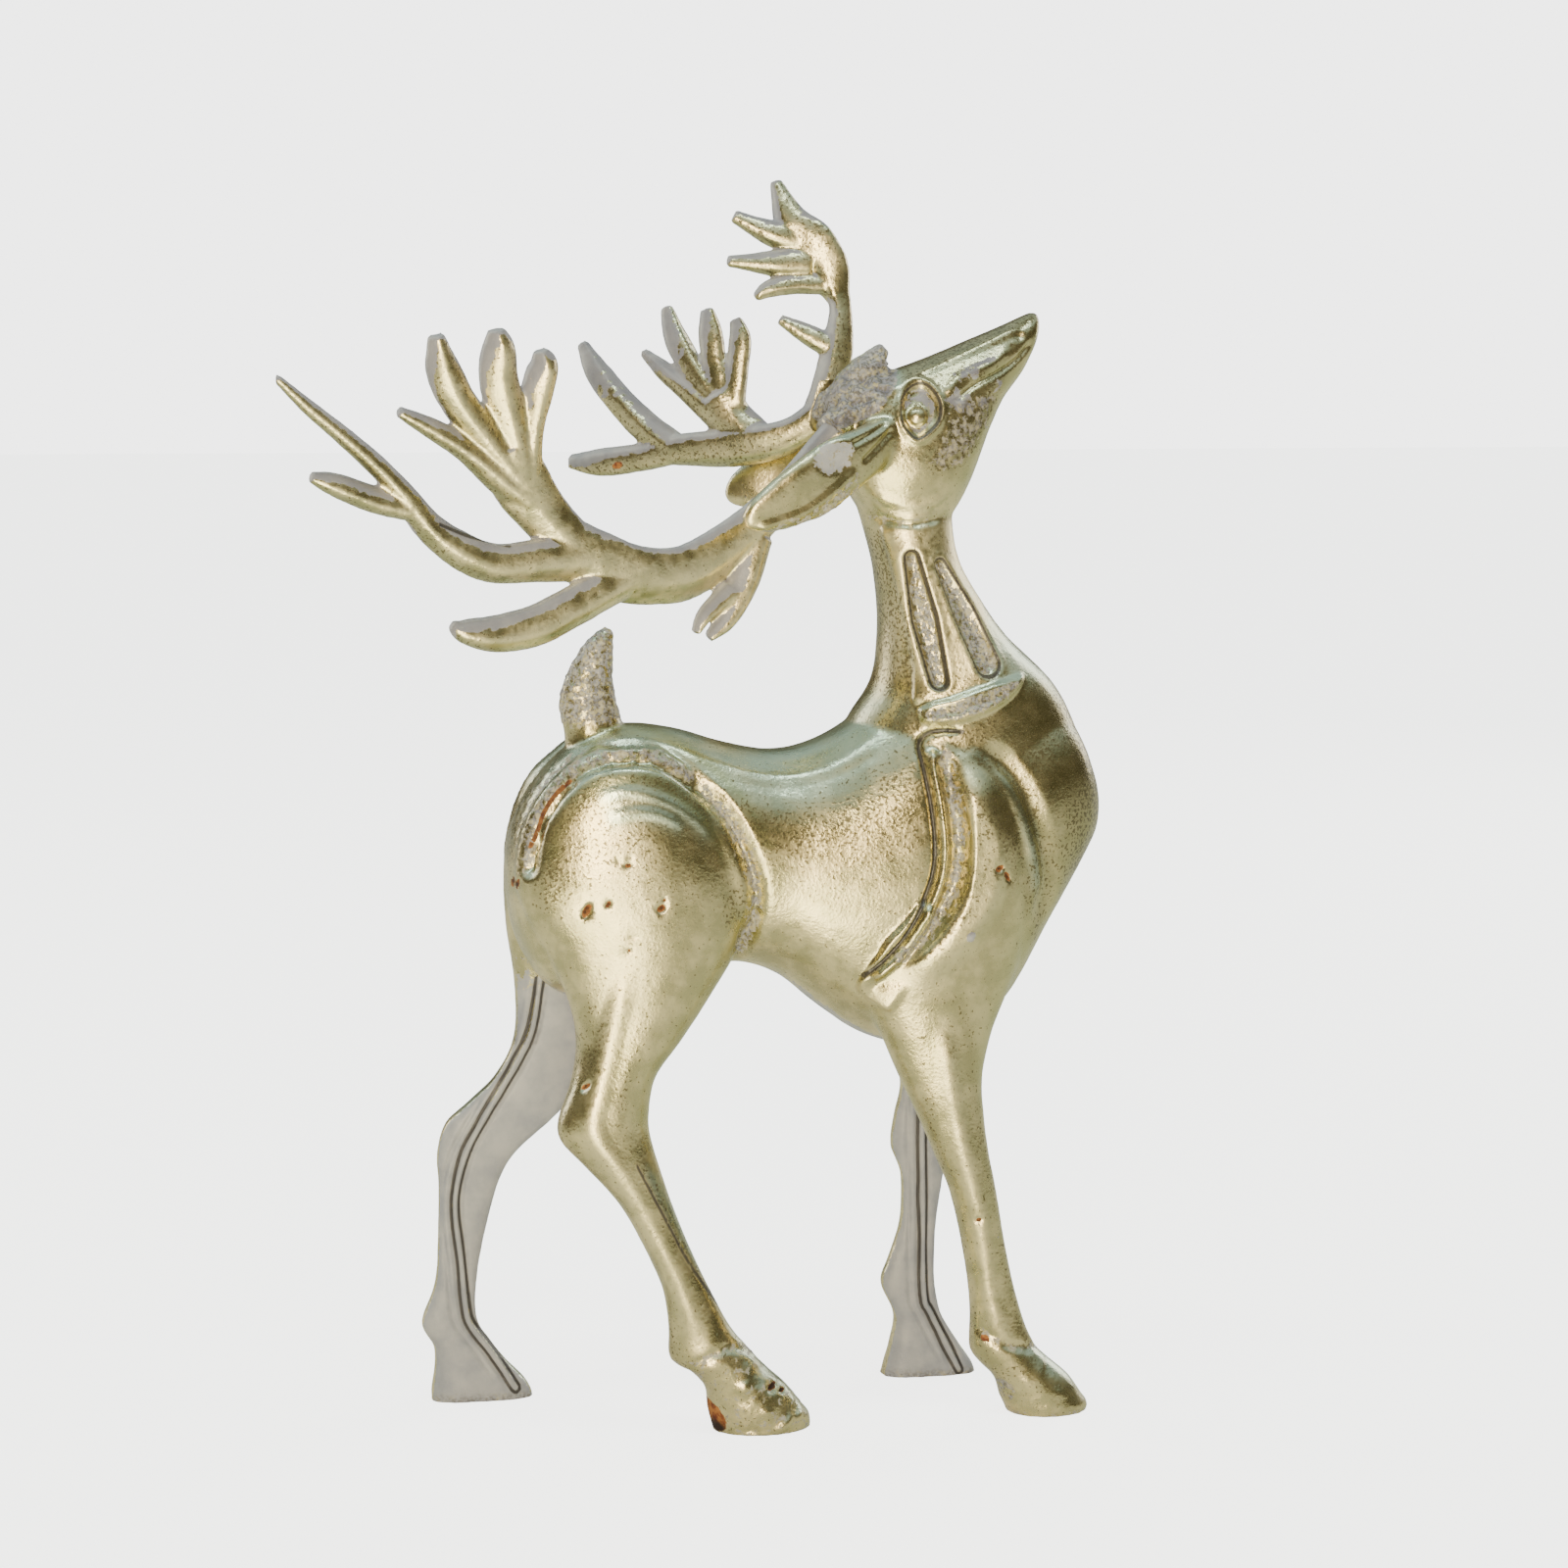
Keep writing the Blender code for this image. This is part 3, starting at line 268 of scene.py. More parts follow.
EAR_FOLDS = (((7.6, 156.8), (11.5, 158.6), (14.8, 160.4)), ((9.6, 154), (12.8, 156.8), (15.6, 159.4)))
CROWN = ((4.2, 158.6), (7.4, 165.6), (11, 169.6), (16.2, 172.6), (18, 169.4), (13.8, 162.4), (8.4, 159.6))

# Flaws of the right flank: x, z, half length, half width, slant in degrees, depth. Patches of painted shade
# and a blister follow, without depth
PITS = (
    (-27.8, 92.6, 0.8, 0.6, 20, 0.4), (-29.3, 93.2, 0.5, 0.4, 0, 0.25), (-27.4, 93.9, 0.5, 0.3, 0, 0.2),
    (-34.2, 85.5, 1.7, 0.8, 62, 0.7), (-30.9, 86.6, 0.9, 0.5, 58, 0.5), (-22.7, 85.7, 1, 0.7, 40, 0.6),
    (-22.2, 87, 0.5, 0.45, 0, 0.4), (-27.1, 81.4, 1, 0.5, 0, 0.15), (-27.7, 79.2, 0.6, 0.5, 0, 0.25),
    (-44.2, 89, 1.6, 0.5, 76, 0.4), (30.9, 90.6, 1.1, 0.7, 20, 0.6), (32.4, 89.2, 1.4, 0.5, -60, 0.5),
    (-34.3, 57.6, 1.2, 0.5, 40, 0.4), (28.8, 33.4, 0.8, 0.5, 30, 0.4))
SHADE_PATCHES = (
    (-38.6, 90, 7.5, 4.6, 75), (-10.6, 85.4, 5.4, 3.2, 70), (37.6, 88, 8.5, 2.6, 80), (8, 160, 3, 1.6, 20))
BLISTER = (26.3, 79.9, 1.3, 1.0, 40)

# Ridges that get a painted highlight, beads down the inner legs with painted shade lines along them, relief
# and rust of the hooves, painted shade of the cheek and the shift of the painted sheen beside the hind strip.
# An oval is x, z, half length, half width, slant in degrees; a lump's height follows.
THIGH_HIGHLIGHT = ((-27.4, 94), (-27.6, 86), (-28, 78), (-28.6, 70))
SHOULDER_HIGHLIGHT = ((25.6, 105), (28.4, 98), (29.4, 92), (28.8, 87), (26.4, 82), (22, 76), (18, 72))
BEAD_HALF = 0.9
EDGE_RANGE = 4.0
HIND_BEAD = (
    (-38.8, 71.8), (-40, 62.9), (-42.3, 57.3), (-44.7, 53.1), (-47.4, 48.6), (-50.6, 42.5), (-52.3, 36.3),
    (-52.5, 31.5), (-51.7, 24.6), (-51, 16.7), (-50.1, 13.2), (-46.8, 8.6), (-43, 2.6))
FORE_BEAD = (
    (25, 56), (25.1, 46), (25.2, 38.4), (25.5, 28.2), (25.7, 14.8), (26.9, 11.4), (30.2, 4.6), (31.6, 1.6))
HOOF_HEEL = (-14.6, 3.6, 2.5, 4.6, 35)
HOOF_HEEL_DARK = (-13.4, 1.4, 1.5, 2.6, 40)
HIND_CORONET = ((-19, 11.8), (-16.8, 12.8), (-14.6, 14), (-12, 14.9), (-9.4, 14.2), (-6.6, 12.6))
FORE_CORONET = ((28.6, 15.4), (30.5, 14.3), (32.9, 12.8), (35.6, 12), (38.4, 11.6), (41, 10.6))
HOOF_LUMPS = (
    (-3.4, 2.2, 2.6, 1.3, 35, 0.8), (-0.6, 3.4, 1.4, 1, 60, 0.6), (-9.6, 8.6, 2.2, 1.4, 60, 0.5),
    (-6.4, 4.6, 1.6, 1.2, 0, 0.4), (-5, 8.4, 1.8, 1.2, 40, -0.5), (-8.6, 1.6, 1.6, 0.8, 0, -0.5),
    (36.5, 6.4, 2.4, 1.6, -35, 0.35), (42, 4.4, 2.2, 1.2, -30, 0.3), (39, 3, 1.8, 1, 0, -0.3))
FORE_HEEL = (33.4, 5.0, 3.0, 1.9, -60)
FETLOCK_RUST = (30.0, 13.8, 1.0, 0.7, -40)
HOOF_PITS = ((-5.1, 8.2, 0.9, 0.6, 30), (-3.4, 7.4, 0.6, 0.45, 0))
CHEEK_SHADE = (28.4, 160.6, 4.6, 3.2, 40)
STRIP_SHEEN = (1.3, 0.5)
LUMP_STRENGTH = 0.6

# Painted highlight, brighter gold along these ridges: path, reach, half width, strength
HIGHLIGHT_RIDGES = ((HIND_SHIN, 4.0, 2.2, 1.0), (FORE_SHIN, 4.0, 1.9, 1.0), (THIGH_HIGHLIGHT, 9.0, 7.5, 1.0),
                (SHOULDER_HIGHLIGHT, 6.0, 4.4, 0.8))

# Ridges and furrows of the flanks: path, half width, height, share of the path over which its ends fade
FLANK_RIDGES = (
    (THIGH_CREASE, 2.3, -1.3, 0), (THIGH_CREASE, 0.8, -0.5, 0), (THIGH_RIPPLES[0], 1.4, 0.26, 0.25),
    (THIGH_RIPPLES[1], 1.4, 0.26, 0.25), (SHOULDER_GROOVE, 0.75, -0.9, 0.04), (SHOULDER_LIP, 1.4, 1.2, 0.05),
    (SHOULDER_CHANNEL, 2.6, -1.2, 0.08), (SHOULDER_BAND, 5, 1.2, 0.15), (SHOULDER_EDGE, 1.8, 0.45, 0.1),
    (SHOULDER_FRONT, 3, -1, 0.15), (COLLAR_MIDDLE, 1.4, -0.5, 0.2), (BROW, 1, 0.45, 0.08),
    (MOUTH, 0.7, -0.6, 0.1), (MUZZLE_RIDGE, 1.3, 0.45, 0.15), (JAW_EDGE, 1.4, 0.4, 0.2),
    (JAW_FOLD, 1, -0.5, 0.15), (BACK_EDGE, 1.8, 0.35, 0.15), (HIND_SHIN, 2.6, 0.55, 0.12),
    (FORE_SHIN, 2.4, 0.5, 0.12))

# How the antlers spread: half thickness, and the way from the face to the back
PRONG_HALF_THICK = 2.3
PRONG_FLATNESS = 0.92
PRONG_RIDGED = 1.4
ANTLER_CRACK = ((-57, 145.7), (-53, 144), (-49.5, 143), (-46.2, 142.2))
ANTLER_RUST = (-23.2, 152.8, 1.0, 0.7, 30)
ANTLER_BACK = Vector((-0.30, 0.86, 0.41))
BROW_BACK = Vector((0.40, 0.86, 0.30))

# The way that the antlers' foil never reached
UNFOILED = Vector((-0.45, 0.55, 0.70))

# Spread of each antler: least way out, x behind which and z above which it goes
# further out, and how much further for each millimetre of these
RIGHT_SPREAD = {"least": 2.4, "front": 8.0, "lean_back": 0.335, "foot": 145.0, "lean_up": 0.22}
LEFT_SPREAD = {"least": 6.0, "front": 10.0, "lean_back": 0.35, "bow": 0.008, "foot": 165.0, "lean_up": 0.25}
BROW_SPREAD = {"least": 7.0, "foot": 166.0, "lean_up": 0.30}

# The photograph's view: turn and tilt in degrees, distance in metres, aim in the drawing
VIEW_AZIMUTH = -11.0
VIEW_ELEVATION = 7.0
VIEW_DISTANCE = 0.550
VIEW_SPAN = 0.2512
VIEW_AIM = Vector((0.0, 0.0, 102.5))
SENSOR = 36.0

# Colours of the foil and its wear, of the painted sheen, highlight and shade on it, of the plastic under it
# and of the rust
BODY_GOLD = ((0.88, 0.75, 0.43, 1.0), (0.60, 0.53, 0.29, 1.0))
ANTLER_GOLD = ((0.94, 0.81, 0.50, 1.0), (0.68, 0.60, 0.35, 1.0))
SKY_SHEEN_TEAL = (0.58, 0.71, 0.59, 1.0)
FLOOR_SHEEN_KHAKI = (0.52, 0.52, 0.25, 1.0)
SHADE_AND_TARNISH = (0.20, 0.175, 0.09, 1.0)
PAINTED_HIGHLIGHT_GOLD = (1.0, 0.87, 0.53, 1.0)
SPECK = (0.085, 0.070, 0.035, 1.0)
PLASTIC = ((0.31, 0.32, 0.375, 1.0), (0.43, 0.43, 0.46, 1.0))
PLASTIC_SHADE = (0.11, 0.10, 0.14, 1.0)
PLASTIC_PIT = (0.10, 0.09, 0.075, 1.0)
SHADE_LINE = (0.030, 0.026, 0.028, 1.0)
RUST = ((0.13, 0.030, 0.014, 1.0), (0.42, 0.17, 0.045, 1.0))
RUST_CORE = (0.020, 0.008, 0.006, 1.0)

# Brightness of the surround as the camera sees it and as the figure reflects it
WARM_WHITE = (1.0, 1.0, 0.99, 1.0)
FLOOR_TONES = ((0.42, 0.42, 0.30, 1.0), (0.84, 0.84, 0.84, 1.0))

SEEN_WHITE = 4.0
FLOOR_GLOW = 3.3
FLOOR_REFLECTED = 0.30
SKY = ((0.02, (0.09, 0.075, 0.04, 1.0)), (0.38, (0.13, 0.12, 0.07, 1.0)), (0.60, (0.42, 0.50, 0.45, 1.0)),
       (0.86, (0.70, 0.84, 0.77, 1.0)), (0.98, (0.14, 0.15, 0.12, 1.0)))


def right_antler_y(x, z):
    """The right antler goes out as it runs back and as it rises."""
    back = max(0.0, RIGHT_SPREAD["front"] - x)
    rise = max(0.0, z - RIGHT_SPREAD["foot"])
    return -(RIGHT_SPREAD["least"] + RIGHT_SPREAD["lean_back"] * back + RIGHT_SPREAD["lean_up"] * rise)


def left_antler_y(x, z):
    """The left antler spreads wider than the right one, in a bow."""
    back = max(0.0, LEFT_SPREAD["front"] - x)
    rise = max(0.0, z - LEFT_SPREAD["foot"])
    out = LEFT_SPREAD["lean_back"] * back + LEFT_SPREAD["bow"] * back ** 2
    return LEFT_SPREAD["least"] + out + LEFT_SPREAD["lean_up"] * rise


def brow_palm_y(x, z):
    """The brow palm stands nearly upright over the forehead."""
    rise = max(0.0, z - BROW_SPREAD["foot"])
    return BROW_SPREAD["least"] + BROW_SPREAD["lean_up"] * rise


def refine(rows, per_span):
    """A smooth run of rows through the given ones, by a Catmull-Rom spline."""
    rows = np.array(rows, dtype=float)
    padded = np.vstack((2 * rows[0] - rows[1], rows, 2 * rows[-1] - rows[-2]))
    result = []
    for index in range(1, len(padded) - 2):
        before, start, end, after = padded[index - 1:index + 3]
        for step in range(per_span):
            t = step / per_span
            result.append(0.5 * (2 * start + (end - before) * t
                                 + (2 * before - 5 * start + 4 * end - after) * t ** 2
                                 + (3 * start - before - 3 * end + after) * t ** 3))
    result.append(rows[-1])
    return result


def rounded(angle, power):
    """Cosine and sine of a superellipse of the given power."""
    cosine = math.cos(angle)
    sine = math.sin(angle)
    return (math.copysign(abs(cosine) ** (2 / power), cosine),
            math.copysign(abs(sine) ** (2 / power), sine))


def add_loft(mesh, rings):
    """Joins rings of equal length into one closed skin."""
    rows = [[mesh.verts.new(point) for point in ring] for ring in rings]
    for low, high in zip(rows, rows[1:]):
        for side in range(len(low)):
            after = (side + 1) % len(low)
            mesh.faces.new((low[side], low[after], high[after], high[side]))
    mesh.faces.new(rows[0][::-1])
    mesh.faces.new(rows[-1])


def ring_angles():
    """Evenly spaced angles round one section."""
    return [2 * math.pi * side / RING_SIDES for side in range(RING_SIDES)]


def add_upright_slices(mesh, rows):
    """A form cut by planes across the figure's length: x, low, high, half width."""
    rings = []
    for x, low, high, half in refine(rows, 6):
        ring = []
        for angle in ring_angles():
            across, up = rounded(angle, TRUNK_SQUARE)
            ring.append((x, half * across, (low + high) / 2 + (high - low) / 2 * up))
        rings.append(ring)
    add_loft(mesh, rings)


def add_level_slices(mesh, rows):
    """A form cut by level planes: z, rear, front, half width."""
    rings = []
    for z, rear, front, half in refine(rows, 6):
        ring = []
        for angle in ring_angles():
            along, across = rounded(angle, ROUND)
            ring.append(((rear + front) / 2 + (front - rear) / 2 * along, half * across, z))
        rings.append(ring)
    add_loft(mesh, rings)


def add_leg(mesh, rows, side):
    """A leg, rounded outside and flat inside: z, rear, front, inner, outer."""
    rings = []
    for z, rear, front, inner, outer in refine(rows, 6):
        middle = inner + 0.42 * (outer - inner)
        ring = []
        for angle in ring_angles():
            outward = math.sin(angle) > 0
            along, across = rounded(angle, ROUND if outward else INNER_SQUARE)
            reach = outer - middle if outward else middle - inner
            ring.append(((rear + front) / 2 + (front - rear) / 2 * along,
                         side * (middle + reach * across), z))
        rings.append(ring)
    add_loft(mesh, rings)


def add_blade(mesh, rows, depth, face_power=ROUND, back_power=ROUND):
    """A leaf or prong along its middle: x, y, z, half width, half thickness."""
    rows = refine(rows, 8)
    points = [Vector(row[:3]) for row in rows]
    rings = []
    for index, row in enumerate(rows):
        ahead = points[min(index + 1, len(points) - 1)]
        behind = points[max(index - 1, 0)]
        tangent = (ahead - behind).normalized()
        thick_way = (depth - depth.dot(tangent) * tangent).normalized()
        wide_way = thick_way.cross(tangent)
        ring = []
        for angle in ring_angles():
            power = back_power if math.sin(angle) > 0 else face_power
            across, through = rounded(angle, power)
            ring.append(points[index] + wide_way * (row[3] * across) + thick_way * (row[4] * through))
        rings.append(ring)
    add_loft(mesh, rings)


def add_prongs(mesh, prongs, place_y, depth):
    """All prongs of one antler, laid on its own curved sheet."""
    for rows in prongs.values():
        blade = []
        for x, z, half in rows:
            thick = min(PRONG_HALF_THICK, PRONG_FLATNESS * half + 0.25)
            blade.append((x, place_y(x, z), z, half, thick))
        add_blade(mesh, blade, depth, PRONG_RIDGED, BACK_SQUARE)


def smoothstep(low, high, value):
    """A smooth rise from 0 to 1 between two values."""
    share = np.clip((value - low) / (high - low), 0.0, 1.0)
    return share * share * (3.0 - 2.0 * share)


def random_field(points, size, seed):
    """Smooth random values from -1 to 1 whose lumps measure about the given size."""
    scaled = points / size + 1000.0
    cell = np.floor(scaled).astype(np.int64)
    part = scaled - cell
    part = part * part * (3.0 - 2.0 * part)
    total = np.zeros(len(points))
    for corner in range(8):
        step = np.array((corner & 1, corner >> 1 & 1, corner >> 2 & 1))
        place = cell + step
        key = (place[:, 0] * 73856093 ^ place[:, 1] * 19349663 ^ place[:, 2] * 83492791
               ^ seed * 2654435761) & 0xFFFFFFFF
        key = ((key ^ (key >> 15)) * 2246822519) & 0xFFFFFFFF
        key = ((key ^ (key >> 13)) * 3266489917) & 0xFFFFFFFF
        value = (key ^ (key >> 16)) & 0xFFFF
        weight = np.prod(np.where(step > 0, part, 1.0 - part), axis=1)
        total += weight * (value / 32767.5 - 1.0)
    return total


def lumps(points, size, seed):
    """Random values of two sizes together."""
    return (random_field(points, size, seed) + 0.5 * random_field(points, size / 2.1, seed + 7)) / 1.5


def follow(points, path, reach, rounds=4):
    """For points near a path: which ones, their distance, share along it and side of it."""
    path = np.array([tuple(point) for point in refine(path, rounds)])
    low = path.min(axis=0) - reach
    high = path.max(axis=0) + reach
    chosen = np.flatnonzero(np.all((points > low) & (points < high), axis=1))
    near = points[chosen]
    best = np.full(len(near), np.inf)
    share = np.zeros(len(near))
    side = np.zeros(len(near))
    lengths = np.hypot(*(path[1:] - path[:-1]).T)
    whole = lengths.sum()
    done = 0.0
    for start, end, length in zip(path, path[1:], lengths):
        way = (end - start) / length
        along = np.clip((near - start) @ way, 0.0, length)
        gap = near - start - along[:, None] * way
        away = np.hypot(gap[:, 0], gap[:, 1])
        closer = away < best
        best[closer] = away[closer]
        share[closer] = (done + along[closer]) / whole
        side[closer] = np.sign(way[0] * gap[closer, 1] - way[1] * gap[closer, 0])
        done += length
    return chosen, best, share, side


def swell(points, path, half, height, ends=0.0):
    """A rounded ridge along a path, or a furrow where the height is negative."""
    chosen, away, share, _ = follow(points, path, half)
    rise = np.clip(1.0 - away / half, 0.0, 1.0)
    rise = rise * rise * (3.0 - 2.0 * rise)
    if ends:
        rise = rise * smoothstep(0.0, ends, share) * smoothstep(0.0, ends, 1.0 - share)
    result = np.zeros(len(points))
    result[chosen] = height * rise
    return result


def depth_along(points, path, reach):
    """Distance of every point from a path, no more than the given reach."""
    chosen, away, _, _ = follow(points, path, reach)
    result = np.full(len(points), reach)
    result[chosen] = np.minimum(away, reach)
    return result


def depth_inside(points, outline, reach=6.0, smooth=True):
    """How far points are inside a closed outline; outside it the value is negative."""
    outline = np.array(outline, dtype=float)
    if smooth:
        ring = np.vstack((outline[-1:], outline, outline[:2]))
        outline = np.array(refine(ring, 4))[4:-5]
    low = outline.min(axis=0) - reach
    high = outline.max(axis=0) + reach
    chosen = np.flatnonzero(np.all((points > low) & (points < high), axis=1))
    near = points[chosen]
    best = np.full(len(near), np.inf)
    inside = np.zeros(len(near), dtype=bool)
    for start, end in zip(outline, np.roll(outline, -1, axis=0)):
        way = end - start
        share = np.clip((near - start) @ way / max(way @ way, 1e-9), 0.0, 1.0)
        gap = near - start - share[:, None] * way
        best = np.minimum(best, np.hypot(gap[:, 0], gap[:, 1]))
        crosses = (start[1] > near[:, 1]) != (end[1] > near[:, 1])
        rise = way[1] if way[1] else 1e-9
        inside ^= crosses & (near[:, 0] < start[0] + (near[:, 1] - start[1]) * way[0] / rise)
    result = np.full(len(points), -reach)
    result[chosen] = np.where(inside, best, -best)
    return result


def drop_depth(points, shape):
    """How far points are inside a long drop that bends once."""
    path = (shape[0:2], shape[2:4], shape[4:6])
    top, middle, foot = shape[6:9]
    chosen, away, share, _ = follow(points, path, 4.0)
    radius = np.where(share < 0.5, top + (middle - top) * share * 2,
                      middle + (foot - middle) * (share * 2 - 1))
    result = np.full(len(points), -4.0)
    result[chosen] = radius - away
    return result


def spot(points, x, z, long_half, short_half, slant):
    """1 in the middle of a slanted oval and 0 at its edge, below 0 outside."""
    turn = math.radians(slant)
    across = points - np.array((x, z))
    along = across[:, 0] * math.cos(turn) + across[:, 1] * math.sin(turn)
    over = -across[:, 0] * math.sin(turn) + across[:, 1] * math.cos(turn)
    return 1.0 - np.hypot(along / long_half, over / short_half)


def oval(points, shape, low, high):
    """A mask that rises inside a slanted oval, where its spot goes from low to high."""
    return smoothstep(low, high, spot(points, *shape[:5]))


def area(points, outline, low, high):
    """A mask that rises where the depth inside an outline goes from low to high."""
    return smoothstep(low, high, depth_inside(points, outline))


def most(*masks):
    """The highest of several masks at each point."""
    return np.max(masks, axis=0)


def leg_bead(rows, low, high, lean):
    """A path down the inner face of a leg, at shares of its depth from rear to front."""
    rows = np.array(refine(rows, 3))
    path = []
    for z in np.linspace(low, high, 12):
        rear = np.interp(z, rows[::-1, 0], rows[::-1, 1])
        front = np.interp(z, rows[::-1, 0], rows[::-1, 2])
        share = np.interp(z, (high, low), lean) if high > low else np.interp(z, (low, high), lean)
        path.append((rear + (front - rear) * share, z))
    return path


def bell(value, half):
    """1 at zero, falling smoothly to 0 at a half width."""
    return smoothstep(0.0, 1.0, 1.0 - np.abs(value) / half)


def edge_step(points, path, height, width, fade):
    """A step up on the right of a path, fading out further away."""
    chosen, away, share, side = follow(points, path, fade)
    signed = -away * side
    rise = smoothstep(-width, width, signed) * smoothstep(0.0, 1.0, 1.0 - away / fade)
    rise = rise * smoothstep(0.0, 0.06, share) * smoothstep(0.0, 0.06, 1.0 - share)
    result = np.zeros(len(points))
    result[chosen] = height * rise
    return result


def flank_height(flat, right_side):
    """Height of the carving over the plain flank, for x, z points."""
    height = np.zeros(len(flat))
    for row in FLANK_RIDGES:
        height += swell(flat, *row)
    height += edge_step(flat, ELBOW[::-1], 1.1, 0.4, 6.0) + area(flat, COLLAR, -0.5, 0.8)
    height += edge_step(flat, NAPE_EDGE[::-1], 0.7, 0.45, 6.0)
    for shape in NECK_HOLLOWS:
        inside = drop_depth(flat, shape)
        height += -1.5 * smoothstep(-0.2, 0.7, inside) + 0.12 * bell(inside + 0.6, 0.9)
    inside = depth_inside(flat, EYE_RIM)
    height += -0.9 * smoothstep(-0.1, 0.9, inside) + 0.5 * bell(inside + 0.4, 0.8)
    away = np.hypot(flat[:, 0] - EYE_BALL[0], flat[:, 1] - EYE_BALL[1])
    height += 1.2 * np.sqrt(np.clip(1.0 - (away / EYE_BALL[2]) ** 2, 0.0, 1.0))
    height += -0.5 * np.clip(spot(flat, *NOSTRIL, NOSTRIL[2], 0), 0.0, 1.0)
    if right_side:
        height += swell(flat, RUST_CRACK, 0.7, -0.6, 0.1) + 0.35 * oval(flat, BLISTER, 0.0, 0.8)
        for pit in PITS:
            height -= pit[5] * oval(flat, pit, 0.0, 0.5)
        for path in (HIND_CORONET, FORE_CORONET):
            height += swell(flat, path, 1.3, -0.3, 0.1) + edge_step(flat, path, 0.25, 0.9, 8.0)
        for lump in HOOF_LUMPS:
            height += LUMP_STRENGTH * lump[5] * oval(flat, lump, 0.0, 1.0)
        for pit in HOOF_PITS:
            height -= 0.5 * oval(flat, pit, 0.0, 0.5)
    return height


def ear_height(flat):
    """Height of the carving on the outer face of an ear."""
    height = swell(flat, EAR_RIDGE, 1.2, 0.5, 0.1)
    height -= 0.4 * smoothstep(0.0, 1.2, depth_inside(flat, EAR_DISH))
    for path in EAR_FOLDS:
        height += swell(flat, path, 0.8, -0.45, 0.15)
    return height


def inner_paths(left_side):
    """Beads down the inner faces of one side's hind and front leg."""
    if left_side:
        return (HIND_BEAD, FORE_BEAD)
    return (leg_bead(HIND_RIGHT, 4.0, 66.0, (0.3, 0.7)), leg_bead(FORE_RIGHT, 3.0, 60.0, (0.45, 0.6)))


def bead_height(flat, left_side):
    """A rounded bead with a groove along both its sides."""
    height = np.zeros(len(flat))
    for path in inner_paths(left_side):
        height += swell(flat, path, 1.7, -1.1, 0.05) + swell(flat, path, 0.9, 1.7, 0.05)
        height += swell(flat + np.array((2.4, 0.0)), path, 0.6, -0.4, 0.1)
    return height


def rough_mask(places, normals):
    """Where the skin is pitted and uneven: 0 to 1."""
    flat, x, z = places[:, [0, 2]], places[:, 0], places[:, 2]
    outward = places[:, 1] * normals[:, 1] > 0
    sides = [swell(flat, THIGH_CREASE, 2.4, 1.0), swell(flat, SHOULDER_CHANNEL, 2.4, 1.0),
             swell(flat, JAW_FOLD, 1.8, 0.7), area(flat, COLLAR, 0.0, 1.0),
             0.8 * area(flat, CHEEK, -0.6, 1.4)]
    sides += [smoothstep(0.1, 0.6, drop_depth(flat, shape)) for shape in NECK_HOLLOWS]
    right = [0.75 * swell(flat, path, 1.5, 1.0, 0.1) for path in (HIND_CORONET, FORE_CORONET)]
    right += [0.9 * oval(flat, FORE_HEEL, 0.0, 0.5),
              0.45 * smoothstep(14.5, 12.5, z) * (x > -22.0) * (x < 8.0)]
    return most(most(*sides) * outward, most(*right) * (outward & (places[:, 1] < 0)),
                area(flat, CROWN, -0.8, 1.0), smoothstep(111.0, 114.0, z) * (x < -26.0),
                0.7 * smoothstep(1.6, 0.0, z - SOLE_LEVEL), 0.8 * ear_low(places))


def is_ear(places):
    """Which points lie on the ears."""
    return ((np.abs(places[:, 1]) > 9.2) & (places[:, 0] < 9.6)
            & (places[:, 2] > 141.0) & (places[:, 2] < 161.0))


def ear_low(places):
    """The strip below the ridge of the ear's outer face."""
    line = np.interp(places[:, 0], [p[0] for p in EAR_RIDGE[::-1]], [p[1] for p in EAR_RIDGE[::-1]])
    return is_ear(places) * smoothstep(0.2, -0.8, places[:, 2] - line)


def carve_body(places, normals):
    """New places of the body's skin, with all its carving."""
    flat = places[:, [0, 2]]
    outward = np.abs(normals[:, 1]) * (places[:, 1] * normals[:, 1] > 0)
    facing = np.clip(2.0 * outward - 0.3, 0.0, 1.0)
    ear = is_ear(places)
    height = np.zeros(len(places))
    for right_side in (True, False):
        here = (places[:, 1] < 0) == right_side
        plain = here & ~ear
        height[plain] = flank_height(flat[plain], right_side)
        near_ear = here & (places[:, 0] < 17.0) & (places[:, 2] > 141.0) & (places[:, 2] < 162.0)
        height[near_ear] += ear_height(flat[near_ear]) * (np.abs(places[near_ear, 1]) > 8.4)
    height *= facing
    inward = np.abs(normals[:, 1]) * (places[:, 1] * normals[:, 1] < 0) * (places[:, 2] < 74.0)
    inner = np.clip(2.0 * inward - 0.6, 0.0, 1.0)
    for left_side in (True, False):
        here = ((places[:, 1] > 0) == left_side) & (inner > 0)
        height[here] += (bead_height(flat[here], left_side) * inner[here])
    height += 0.26 * rough_mask(places, normals) * lumps(places, 0.9, 3)
    crown = smoothstep(-0.8, 1.0, depth_inside(flat, CROWN)) * (np.abs(places[:, 1]) < 8.0)
    height += 1.2 * crown * lumps(places, 1.7, 4)
    height += 0.05 * lumps(places, 4.5, 5) + 0.02 * random_field(places, 1.2, 9)
    return places + normals * height[:, None]


def read_mesh(item):
    """Places and normals of a mesh's points."""
    data = item.data
    places = np.empty(len(data.vertices) * 3, dtype=np.float32)
    normals = np.empty(len(data.vertices) * 3, dtype=np.float32)
    data.vertices.foreach_get("co", places)
    data.vertices.foreach_get("normal", normals)
    return places.reshape(-1, 3).astype(float), normals.reshape(-1, 3).astype(float)


def write_mesh(item, places):
    """Gives a mesh's points new places."""
    item.data.vertices.foreach_set("co", places.astype(np.float32).ravel())
    item.data.update()


